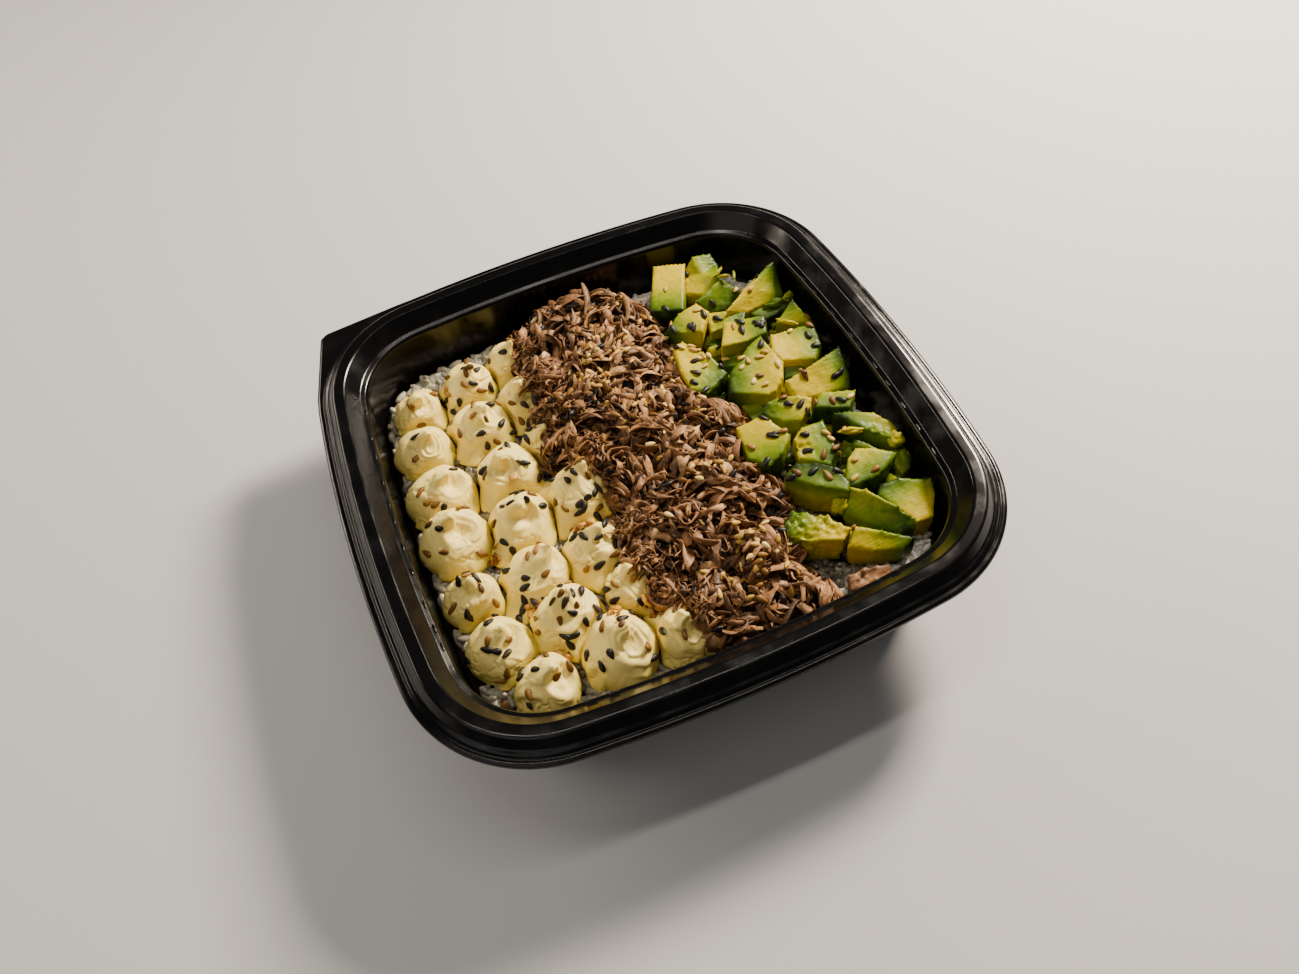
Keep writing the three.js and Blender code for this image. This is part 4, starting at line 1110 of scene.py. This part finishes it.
def make_tuna(settings):
    """The heap of pulled tuna, its core, and a loose flake near the wall."""
    rng = random.Random(11)
    material = tuna_material(settings)
    clumps = tuna_clumps(rng, settings.clumps)
    bm = tuna_core(clumps)
    # painted shade: the core that shows between the shreds is given a low tone, so it is painted near the
    # dark furrow colour
    tone = bm.verts.layers.float.new("tone")
    for v in bm.verts:
        v[tone] = 0.02 + 0.1 * noise.noise(v.co * 0.3)
    core = finished(bm, "tuna_heap", material, ["tuna"])
    wide, thick = settings.width / MM, settings.thickness / MM

    def ribbons(count, lengths, width, widths, thickness, cells):
        return [
            ribbon(rng, rng.uniform(*lengths), width * rng.uniform(*widths), thickness, cells)
            for _ in range(count)
        ]

    folds = ribbons(20, (9, 13), wide, (0.7, 1.35), thick * 0.5, (7, 2))
    sheets = ribbons(24, (6, 10), wide, (0.5, 1.1), thick * 0.45, (5, 2))
    slivers = ribbons(24, (4, 8), thick, (1.2, 2), thick * 0.45, (5, 1))
    fibres = [fibre(rng, rng.uniform(3.5, 7), thick * rng.uniform(0.7, 1.1), 4, 5) for _ in range(20)]
    threads = [fibre(rng, rng.uniform(4, 8), 0.4, 3, 5) for _ in range(12)]
    # name, shapes, number, reach, lowest and highest lift, share that stands on edge
    kinds = (
        ("tuna_folds", folds, 1700, 6.2, (1.2, 4.2), 0.6),
        ("tuna_sheets", sheets, 2400, 5.6, (0.4, 3.4), 0.7),
        ("tuna_slivers", slivers, 1500, 4, (0.5, 3.4), 0.6),
        ("tuna_fibres", fibres, 700, 3.5, (0.2, 3.0), 0.5),
        ("tuna_threads", threads, 400, 4, (1.5, 4.0), 0.5),
    )
    places, tones = [], []
    for clump in clumps:
        for _ in range(2):
            x, y = clump.x + rng.gauss(0, 2.5), clump.y + rng.gauss(0, 2.5)
            name, point, normal = dropped(x, y)
            if name == "tuna_heap" and beyond_rim(x, y) < ROSETTE_LIMIT:
                up, lay = normal + strayed(rng, 0.5), strayed(rng, 1)
                size = rng.uniform(0.75, 1.15)
                places.append(frame_at(point + normal * rng.uniform(0.8, 2.4), lay, up, (size,) * 3))
                tones.append(0.5 + clump.tone + rng.gauss(0, 0.08))
    scattered("tuna_rosettes", [rosette(rng) for _ in range(10)], places, tones, material)
    for name, shapes, count, reach, lift, on_edge in kinds:
        places, tones = tuna_lay(core, clumps, rng, count, reach, lift, on_edge)
        for x, y, spread, share in SPILLS:
            for _ in range(round(share * count / 100)):
                across, along_heap = rng.gauss(0, spread * 0.5), rng.gauss(0, spread * 0.7)
                _, point, normal = dropped(x + across, y + along_heap)
                lay, up = strayed(rng, 1, 0.3), strayed(rng, 1, height=0.8)
                places.append(frame_at(point + normal * rng.uniform(0.2, 1.6), lay, up))
                tones.append(rng.uniform(0.25, 0.7))
        scattered(name, shapes, places, tones, material)
    flake = cut_piece(chunk_rings(FLAKE, 0), 0.5, 0.9, Vector((5, 2, 8)))
    tone = flake.verts.layers.float.new("tone")
    for v in flake.verts:
        v[tone] = 0.5 + 0.3 * noise.noise(Vector((v.co.x * 0.2, v.co.y * 0.9, v.co.z * 0.9)))
    finished(flake, "tuna_piece", material, ["tuna_flake"])


# ---- rice ----
def rice_material(colour):
    """Cooked short-grain rice: white, slightly translucent, sticky and satin."""
    material, tree, shader, place, tone = new_material("cooked rice", "tone")
    cloud = add(tree, "TexNoise", {"Vector": place, "Scale": per(2), "Detail": 3.0})
    level = add(tree, "Math", {0: cloud, 1: tone}, operation="MULTIPLY")
    # painted shade: the ramp's dark end stands for rice in shade; grains with a low tone take it, and so
    # does the bed, which has no tone
    ramp = add(
        tree, "ValToRGB", {"Fac": level},
        stops=((0.0, linear("3a3222")), (0.3, linear("c9c2ae")), (0.6, colour)),
    )
    bump = add(tree, "Bump", {"Height": cloud, "Distance": 0.1 * MM, "Strength": 0.5})
    set_inputs(
        shader, Base_Color=ramp, Roughness=0.35, IOR=1.45, Subsurface_Weight=0.3,
        Subsurface_Radius=(1.0, 0.9, 0.7), Subsurface_Scale=1.2 * MM, Normal=bump,
    )
    return material


def grain_shapes(rng, length, width):
    """A few grains of rice along x, each a little arched and thinner at one end."""
    shapes = []
    for _ in range(6):
        bm = bmesh.new()
        bmesh.ops.create_uvsphere(bm, u_segments=7, v_segments=6, radius=1, matrix=ALONG_X)
        arch = rng.uniform(-0.25, 0.25)
        for v in bm.verts:
            v.co.y += arch * (1 - v.co.x ** 2)
            plump = 1 - 0.12 * v.co.x
            v.co = (v.co.x * length / 2, v.co.y * plump * width / 2, v.co.z * plump * width / 2.3)
        shapes.append(template(bm))
    return shapes


# Side of the rice, a little inside the wall, as (offset from the rim's inner edge, height).
RICE_SECTION = ((-7.3, RICE_TOP - 0.4), (-7.4, 16), (-9.0, 9.5), (-12.7, 4.6), (-20, 1.4))
RICE_STEPS = 12


def make_rice(settings):
    """The pressed body of the rice."""
    material = rice_material(settings.colour)
    bm = bmesh.new()
    swept_round(bm, RICE_SECTION, RICE_STEPS, RICE_STEPS)
    rims = [e for e in bm.edges if e.is_boundary]
    upper = [e for e in rims if e.verts[0].co.z > RICE_TOP / 2]
    for ring in (upper, [e for e in rims if e not in upper]):
        bmesh.ops.edgeloop_fill(bm, edges=ring)
    outward(bm)
    # painted shade: the bed carries no tone, so its material paints it all in the rice's dark shade colour
    finished(bm, "rice_bed", material, ["rice"])


GRAIN_LIMIT = -8.3  # offset from the rim that a grain's ends keep, to stay inside the wall
LIT_REACH = 18  # distance from the rim beyond which the grains are painted in shade
SHADE_BLEND = 5
SHADED_SIDE = 0.3  # painted shade: how lit the grains are painted on the side of the dollops, as a share


def make_grains(settings):
    """The grains that show along the wall and between the toppings."""
    rng = random.Random(3)
    places, tones = [], []
    reach = HALF_SIDE - 6
    for _ in range(200 * settings.grains):
        if len(places) == settings.grains:
            break
        x, y = rng.uniform(-reach, reach), rng.uniform(-reach, reach)
        spot = Vector((x, y, RICE_TOP + rng.uniform(-0.4, 1.3)))
        if dropped(spot.x, spot.y)[0] != "rice_bed":
            continue
        direction = strayed(rng, 1, 0.35).normalized()
        ends = (spot + direction * settings.length / MM * k for k in (-0.5, 0.5))
        if max(beyond_rim(end.x, end.y) for end in ends) > GRAIN_LIMIT:
            continue
        size = rng.uniform(0.85, 1.1)
        places.append(frame_at(spot, direction, strayed(rng, 0.3, height=1), (size,) * 3))
        # painted shade: grains more than about 13 mm in from the wall, between the toppings, and all grains
        # on the side of the dollops get a lower tone and are painted darker; clean here is how lit a grain
        # is painted
        clean = smooth((beyond_rim(*spot.xy) + LIT_REACH) / SHADE_BLEND)
        clean *= 1 if spot.x > 0 else SHADED_SIDE
        tones.append(rng.gauss(0.12 + 0.85 * clean, 0.06))
    shapes = grain_shapes(rng, settings.length / MM, settings.width / MM)
    scattered("rice_grains", shapes, places, tones, bpy.data.materials["cooked rice"])


# ---- sesame ----
def seed_shape(length, width, thickness, point):
    """A sesame seed along x: a flat drop with a blunt point."""
    bm = bmesh.new()
    bmesh.ops.create_uvsphere(bm, u_segments=8, v_segments=7, radius=1, matrix=ALONG_X)
    for v in bm.verts:
        slim = 1 - point * smooth(0.5 + 0.5 * v.co.x)
        high = v.co.z * (0.5 + 0.5 * slim) * thickness / 2
        v.co = (v.co.x * length / 2, v.co.y * slim * width / 2, high)
    return template(bm)


def seed_material(name, tones, rough):
    """A dry satin skin, finely pitted, each seed or crumb of its own roast."""
    material, tree, shader, place, tone = new_material(name, "tone")
    pits = add(tree, "TexNoise", {"Vector": place, "Scale": per(0.35), "Detail": 3.0})
    level = add(tree, "Math", {0: pits, 1: 0.3, 2: tone}, operation="MULTIPLY_ADD", use_clamp=True)
    ramp = add(tree, "ValToRGB", {"Fac": level}, stops=tones)
    bump = add(tree, "Bump", {"Height": pits, "Distance": 0.05 * MM, "Strength": 0.6})
    set_inputs(
        shader, Base_Color=ramp, Roughness=rough, IOR=1.45, Specular_IOR_Level=0.35, Normal=bump,
    )
    return material


def seed_frame(point, normal, rng, proud, size):
    """A seed lying on a surface, a little sunk into it."""
    direction = strayed(rng, 1, 1)
    direction -= normal * direction.dot(normal)
    up = normal + strayed(rng, 0.16)
    return frame_at(point + normal * proud, direction, up, (size * rng.uniform(0.9, 1.12), size, size))


def apart(point, taken, gap):
    """Whether a place is clear of those already taken."""
    return all((point - other).length > gap for other in taken)


# Places where seeds have gathered: x, y, spread, kind, number.
GATHERED = (
    (57, -26, 3.5, "pale", 11), (34, 30, 5, "pale", 8), (27, 37, 4, "pale", 9), (50, 14, 6, "pale", 6),
    (60, 48, 5, "pale", 5), (44, -14, 5, "toasted", 6), (-24, -15, 3.5, "black", 7),
    (-33, -49, 3, "black", 4), (-47, 48, 4, "black", 5), (-52, 50, 5, "toasted", 5),
    (-30, 30, 4, "black", 5), (-56, -14, 4, "toasted", 4), (-54, -37, 4, "black", 4),
    (-66, -62, 5, "toasted", 4),
)
# Places of amber crumbs: x, y, spread, number.
CRUMBS = (
    (-42, 7, 2.5, 4), (-27, -19, 4.5, 10), (-51, -38, 3, 5), (-29, -50, 4, 10), (-55, -14, 3, 3),
    (-49, -53, 3, 3), (-20, -53, 3, 3),
)
SEEDS_PER_DOLLOP = 1.3  # times the numbers in a dollop's row
TUNA_GROUPS = 34
TUNA_SINGLES = 80
SEED_GAP = 2.2  # between seeds on one piece
GATHERED_GAP = 1.3
SEED_LIMIT = -9  # offset from the rim that seeds keep
SEED_SIZES = {"black": 1.12, "toasted": 1.06, "pale": 0.88}
ROASTS = {
    "black": ((0.0, linear("0c0a09")), (0.6, linear("1a1613")), (1.0, linear("3a2a1c"))),
    "toasted": ((0.0, linear("2f1c08")), (0.5, linear("6c4715")), (1.0, linear("a87c34"))),
    "pale": ((0.0, linear("93691f")), (0.5, linear("c89f45")), (1.0, linear("ecd28a"))),
    "fried": ((0.0, linear("5c3008")), (0.5, linear("985f16")), (1.0, linear("cc9238"))),
}


def make_sesame(settings):
    """Black, toasted and pale seeds on everything, one piece for each kind, and a few amber crumbs."""
    rng = random.Random(29)
    length, width, thickness = settings.length / MM, settings.width / MM, settings.thickness / MM
    kinds = {kind: [] for kind in SEED_SIZES}
    taken = []

    def lay(kind, point, normal, proud):
        taken.append(point)
        kinds[kind].append(seed_frame(point, normal, rng, proud, SEED_SIZES[kind]))

    def strew(name, counts, lowest, steepest, proud):
        def open_place(point, normal):
            return point.z > lowest and normal.z > steepest and apart(point, taken, SEED_GAP)

        for kind, count in counts.items():
            for point, normal in spots(bpy.data.objects[name], count, rng, open_place):
                lay(kind, point, normal, proud)

    def drop(x, y, spread, kind, count, only=""):
        for _ in range(count):
            name, point, normal = dropped(x + rng.gauss(0, spread * 0.6), y + rng.gauss(0, spread * 0.6))
            if beyond_rim(point.x, point.y) > SEED_LIMIT or not name.startswith(only):
                continue
            if apart(point, taken, GATHERED_GAP):
                lay(kind, point, (normal + Vector((0, 0, 0.5))).normalized(), 0.35)

    for i, dollop in enumerate(DOLLOPS):
        counts = {kind: round(getattr(dollop, kind) * SEEDS_PER_DOLLOP) for kind in ("black", "toasted")}
        strew(f"dollop_{i + 1:02d}", counts, FOOD_FLOOR + 0.3 * dollop.height, 0.15, 0.25)
    for i, chunk in enumerate(CHUNKS):
        counts = {"black": chunk.black, "toasted": chunk.toasted, "pale": chunk.pale}
        strew(f"chunk_{i + 1:02d}", counts, FOOD_FLOOR + 3, 0.35, 0.2)
    for place in GATHERED:
        drop(*place)
    for _ in range(TUNA_GROUPS):
        y = rng.uniform(TUNA_NEAR + 8, TUNA_FAR - 10)
        x = rng.uniform(along(TUNA_LEFT, y) + 8, along(TUNA_RIGHT, y) - 4)
        spread, kind = rng.uniform(4, 9), rng.choice(("toasted", "pale", "pale"))
        drop(x, y, spread, kind, rng.randint(4, 10), "tuna")
    for _ in range(TUNA_SINGLES):
        y = rng.uniform(TUNA_NEAR + 4, TUNA_FAR - 4)
        x = rng.uniform(along(TUNA_LEFT, y), along(TUNA_RIGHT, y))
        drop(x, y, 1, rng.choice(("black", "black", "pale")), 1, "tuna")
    shapes = [seed_shape(length * k, width, thickness, 0.42) for k in (0.92, 1.0, 1.07)]
    for kind, places in kinds.items():
        shades = [rng.gauss(0.35, 0.2) for _ in places]
        material = seed_material(f"{kind} sesame", ROASTS[kind], 0.46)
        scattered(f"sesame_{kind}", shapes, places, shades, material)
    places = []
    for x, y, spread, count in CRUMBS:
        for _ in range(count):
            _, point, normal = dropped(x + rng.gauss(0, spread * 0.5), y + rng.gauss(0, spread * 0.5))
            lay, up = strayed(rng, 1, 0.6), strayed(rng, 1, height=0.6)
            places.append(frame_at(point + normal * 0.5, lay, up, (rng.uniform(0.7, 1.3),) * 3))
    shapes = [ribbon(rng, rng.uniform(3.2, 5.6), rng.uniform(1.6, 2.8), 0.3, (5, 1)) for _ in range(8)]
    shades = [rng.uniform(0.1, 0.9) for _ in places]
    material = seed_material("fried onion", ROASTS["fried"], 0.3)
    scattered("amber_crumbs", shapes, places, shades, material)


# ---- stage ----
CAMERA_PLACE = (-55.2635, -194.4896, 289.4046)
CAMERA_RIGHT = (0.91878078, -0.38600343, -0.08272385)
CAMERA_UP = (0.35949514, 0.73152803, 0.57933581)
CAMERA_LENS = 28.1
SENSOR = 36
FLOOR_REACH = 6.0
LIT_PLACE = Vector((0, 0, 0.03))
# Panels: name, place, size, share of the key's power, tint.
PANELS = (
    ("key", (0.55, 0.3, 0.48), (0.18, 0.18), 1, "ffefd8"),
    ("fill", (-0.45, -0.35, 0.6), (0.7, 0.7), 0.06, "fff8f0"),
    ("side", (-0.5, 0.45, 0.4), (0.6, 0.05), 0.13, "fff0dc"),
    ("top", (0, 0.1, 0.8), (0.7, 0.04), 0.08, "fff6ea"),
)


def floor_material(colour):
    """Painted board: matt and even, so that only the shadow shows."""
    material, tree, shader, place = new_material("painted board")
    tooth = add(tree, "TexNoise", {"Vector": place, "Scale": per(1.5), "Detail": 3.0})
    bump = add(tree, "Bump", {"Height": tooth, "Distance": 0.05 * MM, "Strength": 0.3})
    set_inputs(shader, Base_Color=colour, Roughness=0.85, Normal=bump)
    return material


def make_stage(settings):
    """A pale floor, soft light from a few panels and the camera."""
    bm = bmesh.new()
    bmesh.ops.create_grid(bm, x_segments=2, y_segments=2, size=FLOOR_REACH)
    mesh = bpy.data.meshes.new("floor")
    bm.to_mesh(mesh)
    bm.free()
    mesh.materials.append(floor_material(settings.floor))
    floor = linked("floor", mesh)

    world = bpy.data.worlds.new("studio")
    world.use_nodes = True
    background = world.node_tree.nodes["Background"]
    background.inputs["Color"].default_value = linear("f2f3f5")
    background.inputs["Strength"].default_value = settings.ambient
    bpy.context.scene.world = world

    for name, place, size, share, tint in PANELS:
        lamp = bpy.data.lights.new(name, "AREA")
        lamp.shape = "RECTANGLE"
        lamp.size, lamp.size_y = size
        lamp.energy = settings.key * share
        lamp.color = linear(tint)[:3]
        panel = linked(name, lamp)
        panel.location = place
        panel.rotation_euler = (LIT_PLACE - Vector(place)).to_track_quat("-Z", "Y").to_euler()

    lens = bpy.data.cameras.new("camera")
    lens.sensor_width = SENSOR
    lens.lens = CAMERA_LENS
    lens.clip_start, lens.clip_end = 0.01, 20
    camera = linked("camera", lens)
    right, up = Vector(CAMERA_RIGHT), Vector(CAMERA_UP)
    turn = Matrix((right, up, right.cross(up))).transposed().to_4x4()
    camera.matrix_world = Matrix.Translation(Vector(CAMERA_PLACE) * MM) @ turn
    bpy.context.scene.camera = camera


# ---- settings ----
def length_property(name, description, default):
    """A length setting, given in mm."""
    return bpy.props.FloatProperty(
        name=name, description=description, default=default * MM, min=0.0, unit="LENGTH", precision=5,
    )


def colour_property(name, description, code):
    """A colour setting, given as an sRGB hex code."""
    return bpy.props.FloatVectorProperty(
        name=name, description=description, default=linear(code), size=4, min=0, max=1, subtype="COLOR",
    )


def number_property(name, description, default, lowest=0, **more):
    """A whole-number setting."""
    return bpy.props.IntProperty(
        name=name, description=description, default=default, min=lowest, **more,
    )


class ContainerSettings(bpy.types.PropertyGroup):
    """The container."""

    wall: length_property("Wall", "Thickness of the moulded sheet", 0.9)
    gloss: bpy.props.FloatProperty(
        name="Roughness", description="Roughness of the clean plastic", default=0.16, min=0, max=1,
        subtype="FACTOR",
    )
    colour: colour_property("Colour", "Colour of the plastic", "070708")


class RiceSettings(bpy.types.PropertyGroup):
    """The rice."""

    length: length_property("Length", "Length of a grain", 5.6)
    width: length_property("Width", "Width of a grain", 2.6)
    grains: number_property("Grains", "Number of loose grains", 1500)
    colour: colour_property("Colour", "Colour of the rice", "f7f0e2")


class CreamSettings(bpy.types.PropertyGroup):
    """The cream cheese."""

    light: colour_property("Light", "Colour of the open surface", "fce388")
    # painted shade in the seams and low down, and real blotches of tone
    shade_and_blotch: colour_property("Warm", "Colour in the seams", "dac64c")
    fold_depth: length_property("Folds", "Depth of the folds round a peak", 1.0)
    softness: length_property("Softness", "Width over which two dollops round into their seam", 4.0)
    fineness: number_property("Fineness", "Subdivisions of a dollop", 6, 3, max=6)


class TunaSettings(bpy.types.PropertyGroup):
    """The tuna."""

    width: length_property("Width", "Width of a sheet", 2.6)
    thickness: length_property("Thickness", "Thickness of a shred", 1.1)
    clumps: number_property("Clumps", "Number of clumps in the heap", 52, 2)
    # painted light and shade: the furrow colour below is painted shade, in the furrows and on the core, and
    # the pale is painted light on the highest shreds inside a clump
    deep_shade: colour_property("Dark", "Colour in the furrows", "120702")
    brown: colour_property("Brown", "Colour of the fibres", "573a1f")
    tan: colour_property("Tan", "Colour of the open fibres", "936840")
    pale: colour_property("Pale", "Colour of frayed ends", "c49a6a")


class AvocadoSettings(bpy.types.PropertyGroup):
    """The avocado."""

    fineness: length_property("Fineness", "Size of a face", 0.5)
    bits: number_property("Offcuts", "Number of small offcuts", 150)
    skin: colour_property("Skin side", "Colour right under the peel", "1a2802")
    green: colour_property("Green", "Colour of the outer flesh", "3b5402")
    lime: colour_property("Lime", "Colour between green and yellow", "687a02")
    yellow: colour_property("Yellow", "Colour of the flesh", "9b9402")
    heart: colour_property("Heart", "Colour next to the stone", "bba403")


class SesameSettings(bpy.types.PropertyGroup):
    """The sesame."""

    length: length_property("Length", "Length of a seed", 3.5)
    width: length_property("Width", "Width of a seed", 2.3)
    thickness: length_property("Thickness", "Thickness of a seed", 1.3)


class StageSettings(bpy.types.PropertyGroup):
    """The floor and the light."""

    floor: colour_property("Floor", "Colour of the floor", "bcbdbe")
    key: bpy.props.FloatProperty(
        name="Key", description="Power of the main panel", default=20.0, min=0, unit="POWER",
    )
    ambient: bpy.props.FloatProperty(
        name="Ambient", description="Strength of the room's light", default=0.07, min=0,
    )


GROUPS = {
    "poke_container": ContainerSettings,
    "poke_rice": RiceSettings,
    "poke_cream": CreamSettings,
    "poke_tuna": TunaSettings,
    "poke_avocado": AvocadoSettings,
    "poke_sesame": SesameSettings,
    "poke_stage": StageSettings,
}


# ---- operators ----
class POKE_OT_container(bpy.types.Operator):
    """Builds the black container"""

    bl_idname = "poke.container"
    bl_label = "Container"
    group = "poke_container"

    def execute(self, context):
        make_container(context.scene.poke_container)
        return {"FINISHED"}


class POKE_OT_rice(bpy.types.Operator):
    """Builds the bed of rice"""

    bl_idname = "poke.rice"
    bl_label = "Rice"
    group = "poke_rice"

    def execute(self, context):
        make_rice(context.scene.poke_rice)
        return {"FINISHED"}


class POKE_OT_grains(bpy.types.Operator):
    """Lays loose grains of rice wherever the bed is open, which has to be there"""

    bl_idname = "poke.grains"
    bl_label = "Rice grains"
    group = "poke_rice"

    def execute(self, context):
        if "rice_bed" not in bpy.data.objects:
            raise RuntimeError("build the bed of rice before its grains")
        make_grains(context.scene.poke_rice)
        return {"FINISHED"}


class POKE_OT_cream_cheese(bpy.types.Operator):
    """Builds the dollops of cream cheese"""

    bl_idname = "poke.cream_cheese"
    bl_label = "Cream cheese"
    group = "poke_cream"

    def execute(self, context):
        make_cream_cheese(context.scene.poke_cream)
        return {"FINISHED"}


class POKE_OT_tuna(bpy.types.Operator):
    """Builds the heap of shredded tuna"""

    bl_idname = "poke.tuna"
    bl_label = "Tuna"
    group = "poke_tuna"

    def execute(self, context):
        make_tuna(context.scene.poke_tuna)
        return {"FINISHED"}


class POKE_OT_avocado(bpy.types.Operator):
    """Builds the cut pieces of avocado"""

    bl_idname = "poke.avocado"
    bl_label = "Avocado"
    group = "poke_avocado"

    def execute(self, context):
        make_avocado(context.scene.poke_avocado)
        return {"FINISHED"}


class POKE_OT_sesame(bpy.types.Operator):
    """Strews sesame over the toppings, which have to be there"""

    bl_idname = "poke.sesame"
    bl_label = "Sesame"
    group = "poke_sesame"

    def execute(self, context):
        if not {"dollop_01", "chunk_01", "tuna_sheets"} <= set(bpy.data.objects.keys()):
            raise RuntimeError("build the toppings before the sesame")
        make_sesame(context.scene.poke_sesame)
        return {"FINISHED"}


class POKE_OT_stage(bpy.types.Operator):
    """Sets up the floor, the light and the camera"""

    bl_idname = "poke.stage"
    bl_label = "Stage"
    group = "poke_stage"

    def execute(self, context):
        make_stage(context.scene.poke_stage)
        return {"FINISHED"}


OPERATORS = (
    POKE_OT_container,
    POKE_OT_rice,
    POKE_OT_cream_cheese,
    POKE_OT_tuna,
    POKE_OT_avocado,
    POKE_OT_grains,
    POKE_OT_sesame,
    POKE_OT_stage,
)


class POKE_PT_panel(bpy.types.Panel):
    """Lists the pieces of the bowl and their settings"""

    bl_idname = "POKE_PT_panel"
    bl_label = "Poke Bowl"
    bl_space_type = "VIEW_3D"
    bl_region_type = "UI"
    bl_category = "Poke Bowl"

    def draw(self, context):
        for operator in OPERATORS:
            box = self.layout.box()
            box.operator(operator.bl_idname)
            for setting in GROUPS[operator.group].__annotations__:
                box.prop(getattr(context.scene, operator.group), setting)


def register():
    """Registers the settings, the operators and the panel."""
    for name, group in GROUPS.items():
        bpy.utils.register_class(group)
        setattr(bpy.types.Scene, name, bpy.props.PointerProperty(type=group))
    for kind in (*OPERATORS, POKE_PT_panel):
        bpy.utils.register_class(kind)


def unregister():
    """Takes them out again."""
    for kind in (POKE_PT_panel, *reversed(OPERATORS)):
        bpy.utils.unregister_class(kind)
    for name, group in GROUPS.items():
        delattr(bpy.types.Scene, name)
        bpy.utils.unregister_class(group)


def main():
    """Builds the bowl on its stage."""
    register()
    bpy.ops.poke.container()
    bpy.ops.poke.rice()
    bpy.ops.poke.cream_cheese()
    bpy.ops.poke.tuna()
    bpy.ops.poke.avocado()
    bpy.ops.poke.grains()
    bpy.ops.poke.sesame()
    bpy.ops.poke.stage()
    bpy.context.view_layer.update()


if __name__ == "__main__":
    main()
